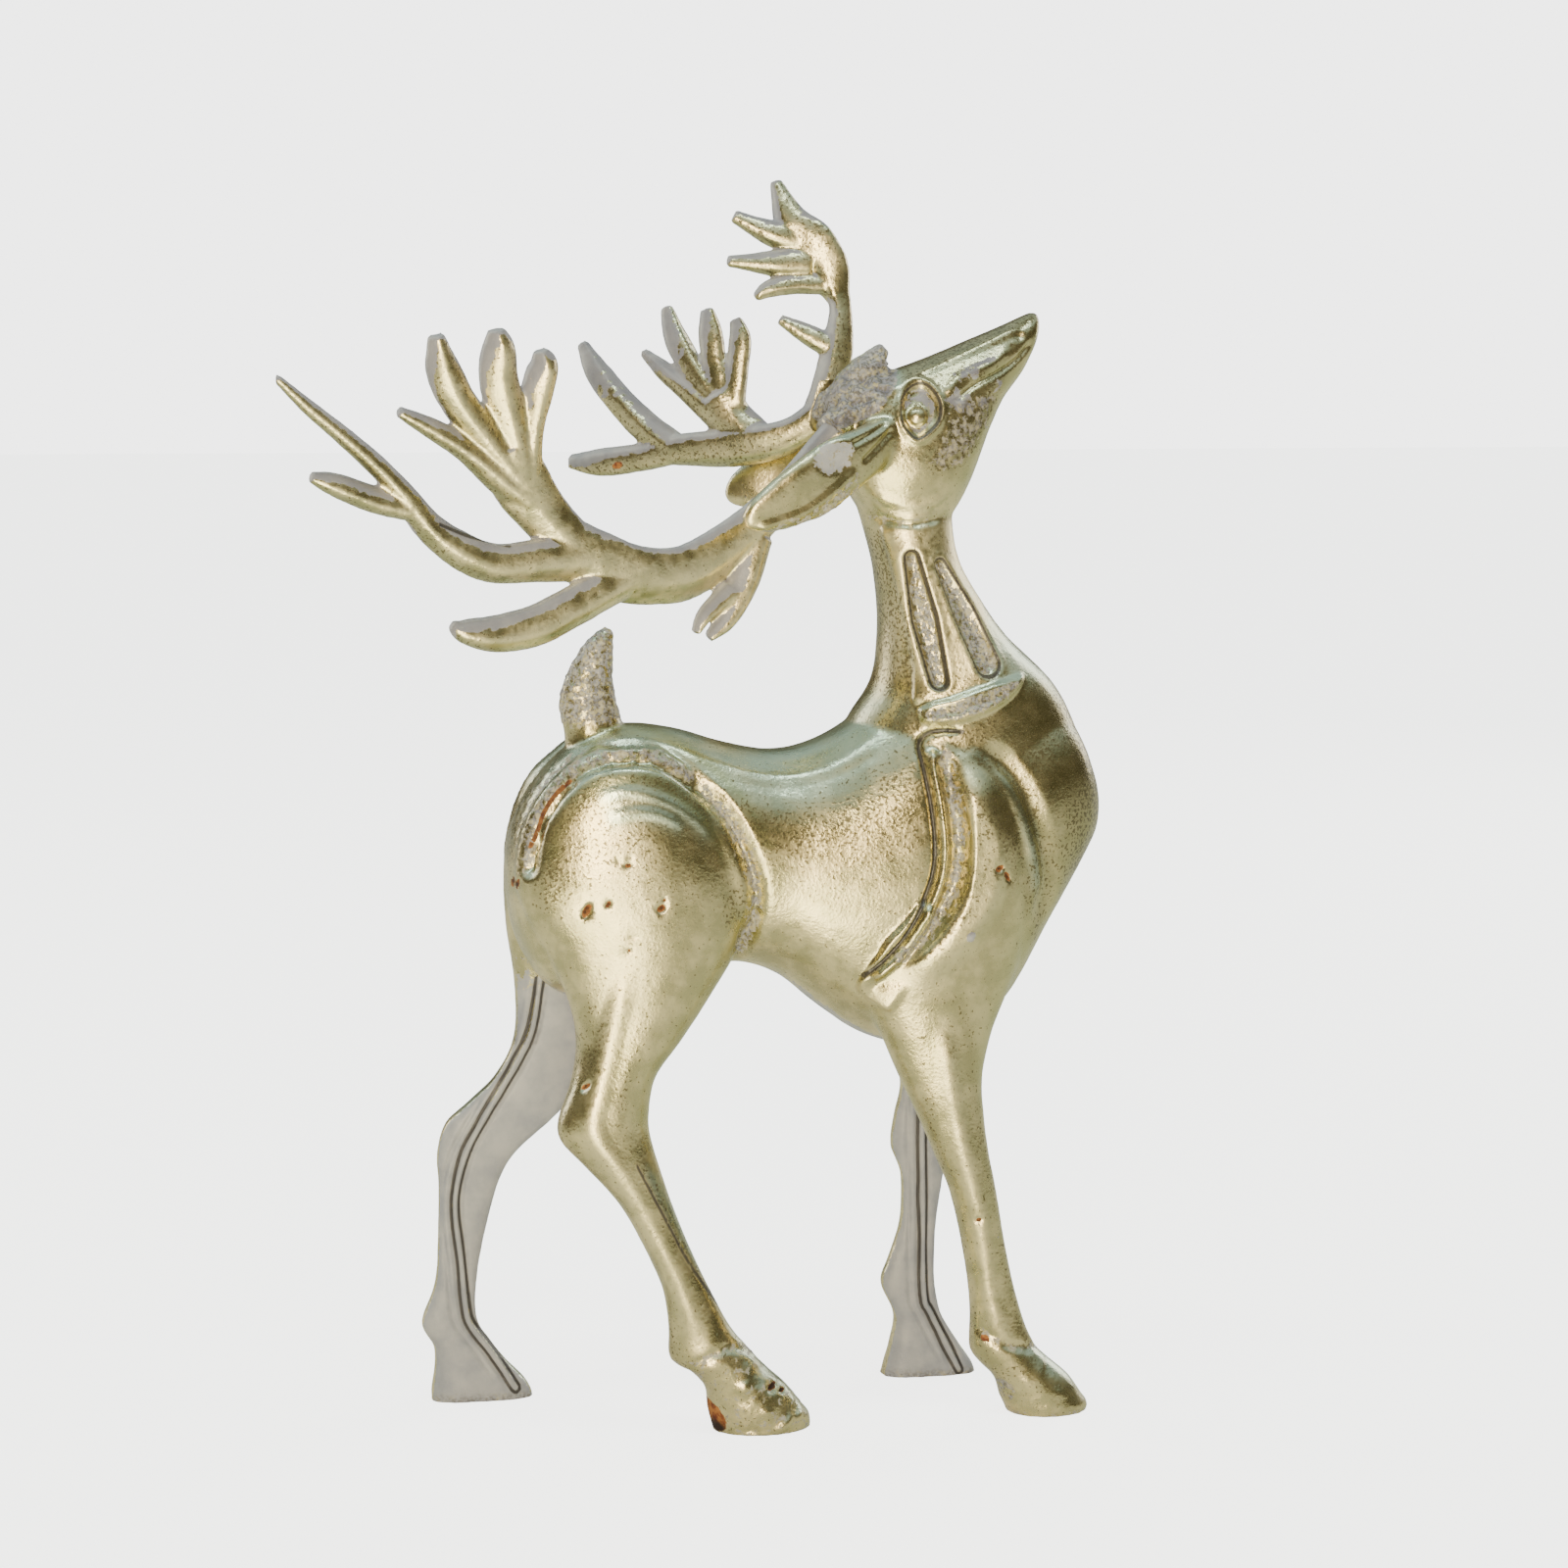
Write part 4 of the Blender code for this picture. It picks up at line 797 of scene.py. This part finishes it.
def make_object(name, mesh):
    """Turns a bmesh into a named object with outward faces."""
    bmesh.ops.recalc_face_normals(mesh, faces=mesh.faces)
    data = bpy.data.meshes.new(name)
    mesh.to_mesh(data)
    mesh.free()
    item = bpy.data.objects.new(name, data)
    bpy.context.scene.collection.objects.link(item)
    return item


def bake_modifiers(item):
    """Makes an object's modifiers part of its mesh."""
    graph = bpy.context.evaluated_depsgraph_get()
    baked = bpy.data.meshes.new_from_object(item.evaluated_get(graph))
    item.modifiers.clear()
    item.data = baked
    baked.shade_smooth()


def fuse(item, voxel, blend):
    """Grows the overlapping forms into one skin, softened over the given width."""
    remesh = item.modifiers.new("fuse", "REMESH")
    remesh.mode = "VOXEL"
    remesh.voxel_size = voxel
    soften = item.modifiers.new("soften", "SMOOTH")
    soften.factor = 0.5
    soften.iterations = max(1, round((blend / voxel) ** 2))
    bake_modifiers(item)


def thin_out(item, triangles):
    """Leaves about the given number of triangles."""
    count = sum(len(face.vertices) - 2 for face in item.data.polygons)
    if count <= triangles:
        return
    thin = item.modifiers.new("thin_out", "DECIMATE")
    thin.ratio = triangles / count
    bake_modifiers(item)


def cut_with(item, cutters):
    """Takes the cutters' forms out of an object and removes the cutters."""
    for cutter in cutters:
        cut = item.modifiers.new(cutter.name, "BOOLEAN")
        cut.operation = "DIFFERENCE"
        cut.solver = "MANIFOLD"
        cut.object = cutter
    bake_modifiers(item)
    for cutter in cutters:
        bpy.data.objects.remove(cutter, do_unlink=True)


def ground_cutter():
    """A slab whose top is the surface that the hooves stand on."""
    mesh = bmesh.new()
    bmesh.ops.create_cube(mesh, size=1.0)
    bmesh.ops.scale(mesh, vec=Vector((300.0, 300.0, 20.0)), verts=mesh.verts)
    bmesh.ops.translate(mesh, vec=Vector((0.0, 0.0, SOLE_LEVEL - 10.0)), verts=mesh.verts)
    return make_object("ground", mesh)


def seat_cutter(seat, way, start, end):
    """A disc across an antler's seat, from start to end along the way it looks."""
    way = Vector(way).normalized()
    mesh = bmesh.new()
    bmesh.ops.create_cone(mesh, cap_ends=True, segments=SEAT_SIDES, radius1=SEAT_REACH,
                          radius2=SEAT_REACH, depth=end - start)
    bmesh.ops.rotate(mesh, matrix=way.to_track_quat("Z", "Y").to_matrix(), verts=mesh.verts)
    bmesh.ops.translate(mesh, vec=Vector(seat) + way * (start + end) / 2, verts=mesh.verts)
    return make_object("seat", mesh)


def add_pedicle(mesh, seat, way):
    """The stub on the crown that carries an antler, longer than its seat."""
    seat = Vector(seat)
    way = Vector(way).normalized()
    rows = []
    for reach in (-PEDICLE_DEPTH, -PEDICLE_DEPTH / 2, 0.0, PEDICLE_SPARE):
        rows.append((*(seat + way * reach), PEDICLE_RADIUS, PEDICLE_RADIUS))
    add_blade(mesh, rows, Vector((0.3, 0.4, 0.9)))


def right_ear():
    """The ear's rows on the side of -Y."""
    return [(x, -out, z, wide, thick) for x, out, z, wide, thick in EAR]


def left_ear():
    """The ear's rows on the side of +Y, shifted more and more to the tip."""
    rows = []
    for index, (x, out, z, wide, thick) in enumerate(EAR):
        share = index / (len(EAR) - 1)
        spread = 1.0 + (LEFT_EAR_SPREAD - 1.0) * share
        rows.append((x + LEFT_EAR_SHIFT[0] * share, out * spread,
                     z + LEFT_EAR_SHIFT[1] * share, wide, thick))
    return rows


def model_body():
    """Trunk, neck, head, legs, ears and tail in one carved skin."""
    mesh = bmesh.new()
    add_upright_slices(mesh, TRUNK)
    add_upright_slices(mesh, HEAD)
    add_level_slices(mesh, NECK)
    add_leg(mesh, HIND_RIGHT, -1)
    add_leg(mesh, HIND_LEFT, 1)
    add_leg(mesh, FORE_RIGHT, -1)
    add_leg(mesh, FORE_LEFT, 1)
    add_blade(mesh, right_ear(), Vector((0.12, -1.0, -0.30)), BACK_SQUARE, BACK_SQUARE)
    add_blade(mesh, left_ear(), Vector((0.12, 1.0, -0.30)), BACK_SQUARE, BACK_SQUARE)
    add_blade(mesh, TAIL, Vector((0, 1, 0)))
    add_blade(mesh, FORELOCK, Vector((0, 1, 0)))
    add_pedicle(mesh, SEAT_RIGHT, SEAT_RIGHT_WAY)
    add_pedicle(mesh, SEAT_LEFT, SEAT_LEFT_WAY)
    body = make_object("figurine_body", mesh)
    fuse(body, BODY_VOXEL, BODY_BLEND)
    write_mesh(body, carve_body(*read_mesh(body)))
    cutters = [ground_cutter(), seat_cutter(SEAT_RIGHT, SEAT_RIGHT_WAY, 0.0, SEAT_REACH),
               seat_cutter(SEAT_LEFT, SEAT_LEFT_WAY, 0.0, SEAT_REACH)]
    cut_with(body, cutters)
    thin_out(body, BODY_TRIANGLES)
    return body


def model_antler(name, parts, seat, way):
    """One antler from its groups of prongs."""
    mesh = bmesh.new()
    for prongs, place_y, depth in parts:
        add_prongs(mesh, prongs, place_y, depth)
    antler = make_object(name, mesh)
    fuse(antler, ANTLER_VOXEL, ANTLER_BLEND)
    places, normals = read_mesh(antler)
    height = 0.05 * lumps(places, 2.2, 21) + 0.03 * random_field(places, 0.9, 22)
    write_mesh(antler, places + normals * height[:, None])
    cut_with(antler, [seat_cutter(seat, way, -2 * SEAT_REACH, SEAT_GAP)])
    thin_out(antler, ANTLER_TRIANGLES)
    return antler


def add_fields(item, **fields):
    """Keeps values from 0 to 1 for each point of a mesh, for its material."""
    for name, values in fields.items():
        field = item.data.attributes.new(name, "FLOAT", "POINT")
        field.data.foreach_set("value", np.clip(values, 0.0, 1.0).astype(np.float32))


def shade_and_tarnish_mask(places, up, outward, rough, bridge, crown, muzzle, neck_highlight):
    """Painted shade on the chest, on faces turned slightly up, on the nose bridge, rough spots and set
    patches, along grooves, edges, strips and hollows, on the cheek and beside the shins; dark patches on the
    crown and muzzle.
    """
    flat, x, z = places[:, [0, 2]], places[:, 0], places[:, 2]
    # Painted shade on the chest and on faces turned slightly up
    dark = most(smoothstep(38.0, 47.0, x) * smoothstep(78.0, 90.0, z),
                0.8 * bell(up - 0.25, 0.4) * (z > 60.0))
    for path in THIGH_RIPPLES:
        dark *= 1.0 - swell(flat, path, 3.0, 0.8, 0.15)
    marks = [swell(flat, SHOULDER_GROOVE, 1.0, 1.0), 0.7 * swell(flat, SHOULDER_FRONT, 2.4, 1.0),
             0.9 * swell(flat, FORE_STRIP, 2.2, 1.0, 0.1), 0.9 * edge_step(flat, NAPE_EDGE, 1.0, 0.4, 9.0),
             0.9 * area(flat, CHEEK, -0.6, 1.4),
             0.9 * muzzle * smoothstep(0.0, 0.4, random_field(places, 2.0, 31))]
    marks += [0.45 * bell(depth_along(flat, path, 7.0) - 3.8, 1.9) for path in (HIND_SHIN, FORE_SHIN)]
    marks += [0.75 * oval(flat, shape, 0.0, 0.6) for shape in SHADE_PATCHES]
    marks += [bell(drop_depth(flat, shape), 0.5) for shape in NECK_HOLLOWS]
    dark = most(dark * (1.0 - 0.9 * neck_highlight), most(*marks) * outward, 0.8 * oval(flat, CHEEK_SHADE, 0.0, 0.4),
                0.35 * rough, 0.8 * bridge)
    dark *= 1.0 - 0.8 * is_ear(places)
    return most(dark, 0.9 * crown * smoothstep(-0.1, 0.5, random_field(places, 1.5, 35)))


def line_depth(places, outward):
    """Depth inside the crisp lines of painted shade along grooves, rims, strips and beside the beads, below 0
    outside them.
    """
    flat = places[:, [0, 2]]
    lines = [depth_inside(flat, EYE_RIM), 0.1 - depth_along(flat, SHOULDER_GROOVE, 3.0),
             -depth_along(flat, HIND_STRIP, 3.0)]
    lines += [drop_depth(flat, shape) for shape in NECK_HOLLOWS]
    depth = np.where(outward, most(*lines), -EDGE_RANGE)
    for left_side in (True, False):
        here = (places[:, 2] < 72.0) & ~outward & ((places[:, 1] > 0) == left_side)
        half = BEAD_HALF * (0.75 + 0.25 * lumps(places[here], 6.0, 43))
        for path in inner_paths(left_side):
            depth[here] = np.maximum(depth[here], half - depth_along(flat[here], path, 3.0))
    return depth


def paint_body(body):
    """Says where the body's foil is worn off or rusty, and where it gets painted sheen, highlight and shade.
    """
    places, normals = read_mesh(body)
    flat, x, z, up = places[:, [0, 2]], places[:, 0], places[:, 2], normals[:, 2]
    outward = places[:, 1] * normals[:, 1] > 0
    near = outward & (places[:, 1] < 0)
    heel = (places[:, 1] < 0) & (z < 12.0)
    inward = -places[:, 1] * normals[:, 1] / np.maximum(np.abs(places[:, 1]), 0.1)
    rough = rough_mask(places, normals)
    crown = area(flat, CROWN, -0.8, 0.6)
    muzzle = area(flat, MUZZLE, -0.3, 0.8) * outward
    socket = area(flat, EYE_RIM, 0.3, 0.9) * outward
    socket *= smoothstep(EYE_BALL[2], EYE_BALL[2] + 0.5, np.hypot(x - EYE_BALL[0], z - EYE_BALL[1]))
    inside = most(smoothstep(0.15, 0.5, inward), 0.8 * smoothstep(7.0, 4.5, np.abs(places[:, 1])))
    bare = most(inside * smoothstep(78.0, 66.0, z), 0.62 * rough, crown, 0.60 * socket,
                0.7 * area(flat, EAR_DISH, -0.4, 1.2) * is_ear(places) * outward,
                0.9 * oval(flat, BLISTER, 0.1, 0.4) * near,
                0.70 * muzzle * smoothstep(-0.1, 0.3, random_field(places, 2.4, 33)))
    # Painted shade on the nose bridge where it faces up, which also clears the teal sheen there
    bridge = smoothstep(0.35, 0.7, up) * smoothstep(17.0, 19.0, x) * smoothstep(160.0, 163.0, z)
    # Painted reflection: a pale teal sheen on faces turned up and along the thigh ripples, the shoulder edge
    # and beside the hind strip
    sheen = [swell(flat, path, 3.2, 1.0, 0.15) for path in THIGH_RIPPLES]
    sheen += [swell(flat, SHOULDER_EDGE, 2.2, 0.8, 0.1), swell(flat - STRIP_SHEEN, HIND_STRIP, 1.7, 1.0, 0.1)]
    teal = most(smoothstep(0.2, 0.75, up), most(*sheen) * outward) * (1.0 - 0.8 * bridge)
    # Painted reflection: khaki on faces turned forward and down, and beside the thigh crease on faces turned
    # up
    khaki = most(smoothstep(0.15, 0.7, 0.6 * normals[:, 0] - 0.5 * up),
                 0.8 * bell(depth_along(flat, THIGH_CREASE, 6.0) - 3.4, 1.6) * (up > 0.1)) * outward
    # Painted highlight: brighter gold on a band down the neck, where the painted shade is also cleared, and
    # along the shin, thigh and shoulder ridges
    neck_highlight = smoothstep(118.0, 122.0, z) * smoothstep(152.0, 146.0, z)
    fresh = neck_highlight * smoothstep(8.0, 6.8, np.abs(x - 24.0))
    for path, reach, half, strength in HIGHLIGHT_RIDGES:
        fresh += strength * bell(depth_along(flat, path, reach), half)
    rust = [swell(flat, RUST_CRACK, 0.65, 1.1, 0.1), oval(flat, FETLOCK_RUST, 0.0, 0.5)]
    rust += [min(1.0, 2.0 * pit[5]) * oval(flat, pit, 0.1, 0.5) for pit in PITS]
    rust += [2.0 * oval(flat, pit, 0.0, 0.4) for pit in HOOF_PITS]
    # The rust is darker in its middle along the crack, in the pits and at the heel
    scorch = [0.6 * swell(flat, RUST_CRACK, 1.2, 1.0, 0.1)]
    scorch += [oval(flat, pit, 0.3, 0.8) for pit in PITS] + [oval(flat, pit, 0.0, 0.3) for pit in HOOF_PITS]
    add_fields(body, bare=bare, rough=rough, teal=teal, khaki=khaki,
               dark=shade_and_tarnish_mask(places, up, outward, rough, bridge, crown, muzzle, neck_highlight),
               edge=0.5 + line_depth(places, outward) / EDGE_RANGE, fresh=fresh * outward * (1.0 - rough),
               rust=most(most(*rust) * near, oval(flat, HOOF_HEEL, 0.0, 0.7) * heel),
               scorch=most(most(*scorch) * near, oval(flat, HOOF_HEEL_DARK, 0.0, 0.6) * heel))


def paint_antler(antler, back_way, unfoiled):
    """Says where an antler's foil is worn off or rusty, and where it gets painted sheen, highlight and shade.
    """
    places, normals = read_mesh(antler)
    flat = places[:, [0, 2]]
    none = np.zeros(len(places))
    front = -normals @ np.array(back_way.normalized())
    crack = 0.5 - depth_along(flat, ANTLER_CRACK, 3.0) / EDGE_RANGE
    # Painted reflection: teal on faces turned up and khaki on faces turned down; painted highlight on faces
    # turned to the front, painted shade on faces turned partly away, and a painted shade line along the crack
    add_fields(antler, rough=none, scorch=none, rust=oval(flat, ANTLER_RUST, 0.0, 0.4),
               bare=smoothstep(unfoiled, unfoiled + 0.14, normals @ np.array(UNFOILED.normalized())),
               teal=smoothstep(0.35, 0.8, normals[:, 2]), khaki=smoothstep(0.3, 0.8, -normals[:, 2]),
               dark=0.6 * smoothstep(0.97, 0.7, front) * smoothstep(0.0, 0.3, front),
               edge=np.where(front > 0.0, crack, 0.0),
               fresh=0.9 * smoothstep(0.62, 0.90, front) * smoothstep(-0.5, 0.1, lumps(places, 3.0, 41)))


class Nodes:
    """A short way to build the nodes of a material or a world."""

    def __init__(self, owner):
        owner.use_nodes = True
        self.tree = owner.node_tree
        self.shader = self.tree.nodes.get("Principled BSDF")

    def link(self, source, socket):
        """Joins an output to a socket, or sets the socket to a plain value."""
        if hasattr(source, "links"):
            self.tree.links.new(source, socket)
        else:
            socket.default_value = source

    def surface(self, **sources):
        """Feeds the shader: base_color stands for its socket Base Color."""
        for name, source in sources.items():
            self.link(source, self.shader.inputs[name.replace("_", " ").title()])

    def node(self, kind, inputs, output, **settings):
        """One output of a new node."""
        node = self.tree.nodes.new("ShaderNode" + kind)
        for name, value in settings.items():
            setattr(node, name, value)
        for socket, source in inputs.items():
            self.link(source, node.inputs[socket])
        return node.outputs[output]

    def noise(self, scale, detail, roughness):
        place = self.node("TexCoord", {}, "Object")
        return self.node("TexNoise", {"Vector": place, "Scale": scale, "Detail": detail,
                                      "Roughness": roughness}, "Fac")

    def field(self, name):
        return self.node("Attribute", {}, "Fac", attribute_name=name)

    def math(self, operation, first, second=0.0):
        return self.node("Math", {0: first, 1: second}, 0, operation=operation)

    def times(self, first, second):
        return self.math("MULTIPLY", first, second)

    def step(self, value, low, high):
        return self.node("MapRange", {"Value": value, "From Min": low, "From Max": high}, "Result",
                         interpolation_type="SMOOTHSTEP")

    def mix(self, share, first, second):
        return self.node("Mix", {0: share, 6: first, 7: second}, 2, data_type="RGBA")

    def tint(self, colour, mask, strength, tint):
        return self.mix(self.times(mask, strength), colour, tint)

    def blend(self, share, first, second):
        return self.node("Mix", {0: share, 2: first, 3: second}, 0, data_type="FLOAT")


def foil_material(name, light, middle, seed):
    """Worn metal foil over bare moulded plastic, with dull specks and rust, and painted sheen, highlight and
    shade in its colour.
    """
    material = bpy.data.materials.new(name)
    make = Nodes(material)
    grain = make.noise(2100.0 + seed, 1.0, 0.5)
    flakes = make.noise(900.0 + seed, 3.0, 0.65)
    patches = make.noise(230.0 + seed, 3.0, 0.6)
    clouds = make.noise(60.0 + seed, 2.0, 0.55)
    rough, dark = make.field("rough"), make.field("dark")
    uneven = make.math("SUBTRACT", flakes, 0.5)
    worn = make.step(make.math("ADD", make.field("bare"), make.times(uneven, 1.9)), 0.42, 0.58)
    gold = make.mix(make.step(patches, 0.35, 0.65), middle, light)
    # Painted reflection: pale teal on faces turned up and on the sheen lines, in clouds
    teal = make.times(make.field("teal"), make.step(clouds, 0.2, 0.55))
    gold = make.tint(gold, teal, 0.85, SKY_SHEEN_TEAL)
    # Painted reflection: khaki on faces turned down
    gold = make.tint(gold, make.field("khaki"), 0.75, FLOOR_SHEEN_KHAKI)
    # Painted shade darkens the gold, together with dark patches on the muzzle and crown
    gold = make.tint(gold, dark, 0.5, SHADE_AND_TARNISH)
    # Painted highlight: brighter gold along the ridges and the neck band
    fresh = make.times(make.field("fresh"), make.step(flakes, 0.25, 0.60))
    gold = make.tint(gold, fresh, 0.75, PAINTED_HIGHLIGHT_GOLD)
    # Dull specks, denser where the painted shade lies
    speck = make.math("ADD", make.times(dark, 0.20), grain)
    speck = make.step(make.math("ADD", speck, make.times(patches, 0.08)), 0.72, 0.80)
    gold = make.tint(gold, speck, 0.85, SPECK)
    # The painted shade and the crown's dark patches darken the bare plastic too
    plastic = make.tint(make.mix(make.step(patches, 0.3, 0.7), *PLASTIC), dark, 0.9, PLASTIC_SHADE)
    pitted = make.times(rough, make.step(grain, 0.44, 0.60))
    plastic = make.tint(plastic, pitted, 0.85, PLASTIC_PIT)
    gilt = make.times(rough, make.step(flakes, 0.52, 0.60))
    colour = make.tint(make.mix(worn, gold, plastic), gilt, 0.5, middle)
    # Painted shade lines along grooves, rims, strips, beads and the antler crack
    away = make.math("ABSOLUTE", make.math("SUBTRACT", make.field("edge"), 0.5))
    line = make.math("SUBTRACT", 1.0, make.step(away, 0.035, 0.10))
    colour = make.tint(colour, line, 0.95, SHADE_LINE)
    rust = make.step(make.math("ADD", make.field("rust"), make.times(uneven, 0.5)), 0.40, 0.55)
    stain = make.mix(make.field("scorch"), make.mix(make.step(flakes, 0.35, 0.65), *RUST), RUST_CORE)
    metal = make.blend(worn, 1.0, 0.0)
    for share in (make.times(speck, 0.35), line, rust):
        metal = make.blend(share, metal, 0.0)
    gloss = make.blend(patches, 0.20, 0.36)
    for share, dullness in ((fresh, 0.42), (worn, 0.42), (rust, 0.85)):
        gloss = make.blend(share, gloss, dullness)
    relief = make.math("ADD", make.times(grain, 0.7), flakes)
    bump = make.node("Bump", {"Strength": 0.6, "Distance": 0.00009, "Height": relief}, "Normal")
    make.surface(base_color=make.mix(rust, colour, stain), metallic=metal, roughness=gloss, normal=bump)
    return material


def to_world(item, node, shift):
    """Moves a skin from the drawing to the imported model, kept inside its node's box."""
    places, _ = read_mesh(item)
    places = (places - np.array((0.0, 0.0, SOLE_LEVEL))) * MM + shift
    low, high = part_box(node)
    write_mesh(item, np.clip(places, np.array(low), np.array(high)))


def add_light(name, place, aim, size, power, colour):
    """A square soft light that looks at the figure."""
    data = bpy.data.lights.new(name, "AREA")
    data.shape = "RECTANGLE"
    data.size, data.size_y = size
    data.energy = power
    data.color = colour
    item = bpy.data.objects.new(name, data)
    item.visible_camera = False
    item.location = place
    item.rotation_euler = (Vector(aim) - Vector(place)).to_track_quat("-Z", "Y").to_euler()
    bpy.context.scene.collection.objects.link(item)


def around(azimuth, elevation, distance):
    """A place round the figure: azimuth 0 is in front of its right side."""
    turn, tilt = math.radians(azimuth), math.radians(elevation)
    return Vector((math.sin(turn) * math.cos(tilt), -math.cos(turn) * math.cos(tilt),
                   math.sin(tilt))) * distance


def set_camera(shift):
    """The photograph's viewpoint."""
    aim = (VIEW_AIM - Vector((0.0, 0.0, SOLE_LEVEL))) * MM + Vector(shift)
    back = around(VIEW_AZIMUTH, VIEW_ELEVATION, 1.0)
    turn = math.radians(VIEW_AZIMUTH)
    right = Vector((math.cos(turn), math.sin(turn), 0.0))
    up = back.cross(right).normalized()
    data = bpy.data.cameras.new("camera")
    data.sensor_width = SENSOR
    data.lens = SENSOR * VIEW_DISTANCE / VIEW_SPAN
    data.clip_start = 0.01
    item = bpy.data.objects.new("camera", data)
    place = Matrix((right, up, back)).transposed().to_4x4()
    place.translation = aim + back * VIEW_DISTANCE
    item.matrix_world = place
    bpy.context.scene.collection.objects.link(item)
    bpy.context.scene.camera = item


def set_surround():
    """White behind the figure; its reflections see a dark horizon and a pale teal sky."""
    world = bpy.data.worlds.new("surround")
    bpy.context.scene.world = world
    make = Nodes(world)
    white = make.node("Background", {"Color": WARM_WHITE, "Strength": SEEN_WHITE}, 0)
    height = make.node("SeparateXYZ", {0: make.node("TexCoord", {}, "Generated")}, "Z")
    sky = make.node("ValToRGB", {0: height}, 0)
    stops = sky.node.color_ramp.elements
    for place, colour in SKY:
        stops.new(place).color = colour
    stops.remove(stops[0])
    stops.remove(stops[-1])
    dim = make.node("Background", {"Color": sky}, 0)
    seen = make.node("LightPath", {}, "Is Camera Ray")
    both = make.node("MixShader", {0: seen, 1: dim, 2: white}, 0)
    make.link(both, make.tree.nodes["World Output"].inputs[0])


def set_studio():
    """A pale floor, soft lights all round and a surround."""
    bpy.ops.mesh.primitive_plane_add(size=12.0, location=(0.0, 0.0, 0.0))
    floor = bpy.context.object
    floor.name = "floor"
    white = bpy.data.materials.new("floor_white")
    make = Nodes(white)
    seen = make.node("LightPath", {}, "Is Camera Ray")
    glow = make.node("MapRange", {"Value": seen, "To Min": FLOOR_REFLECTED, "To Max": FLOOR_GLOW}, "Result")
    make.surface(base_color=make.mix(seen, *FLOOR_TONES), roughness=0.7, emission_color=WARM_WHITE,
                 emission_strength=glow)
    floor.data.materials.append(white)
    middle = (0.0, 0.0, 0.1)
    front = around(-15, 0, 0.8) + Vector((0.0, 0.0, 0.25))
    add_light("front", front, (0.0, 0.0, 0.25), (0.20, 0.46), 6.2, (1.0, 0.83, 0.54))
    card = around(-13, 0, 0.36) + Vector((0.0, 0.0, 0.003))
    add_light("low_card", card, card + Vector((0.0, 0.0, 1.0)), (0.18, 0.44), 1.7, (1.0, 0.92, 0.58))
    add_light("top", around(-20, 80, 0.8), middle, (0.6, 0.08), 2.0, (0.84, 1.0, 0.95))
    for name, azimuth in (("left_back", -128), ("right_back", 128)):
        add_light(name, around(azimuth, 24, 1.0), middle, (0.40, 0.6), 2.6, (1.0, 0.97, 0.90))
    set_surround()


def main():
    body = model_body()
    right = model_antler("figurine_antler_right", [(ANTLER_RIGHT, right_antler_y, ANTLER_BACK)],
                         SEAT_RIGHT, SEAT_RIGHT_WAY)
    left = model_antler("figurine_antler_left", [(ANTLER_LEFT, left_antler_y, ANTLER_BACK),
                                                 (BROW_PALM, brow_palm_y, BROW_BACK)],
                        SEAT_LEFT, SEAT_LEFT_WAY)
    paint_body(body)
    paint_antler(right, ANTLER_BACK, -0.50)
    paint_antler(left, ANTLER_BACK, -0.10)
    places, _ = read_mesh(body)
    drawn = (places.min(axis=0) + places.max(axis=0)) / 2 * MM
    low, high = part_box("body")
    shift = np.array(((low[0] + high[0]) / 2 - drawn[0], (low[1] + high[1]) / 2 - drawn[1], 0.0))
    body_foil = foil_material("body_foil", *BODY_GOLD, 0.0)
    antler_foil = foil_material("antler_foil", *ANTLER_GOLD, 40.0)
    for item, node, foil, slot in ((body, "body", body_foil, "body_foil"),
                                   (right, "antler_right", antler_foil, "antler_foil"),
                                   (left, "antler_left", antler_foil, "antler_foil")):
        to_world(item, node, shift)
        item.data.materials.clear()
        item.data.materials.append(foil)
        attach(item, "root")
        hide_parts(node)
        print("skin", item.name, sum(len(face.vertices) - 2 for face in item.data.polygons))
    set_studio()
    set_camera(shift)


main()
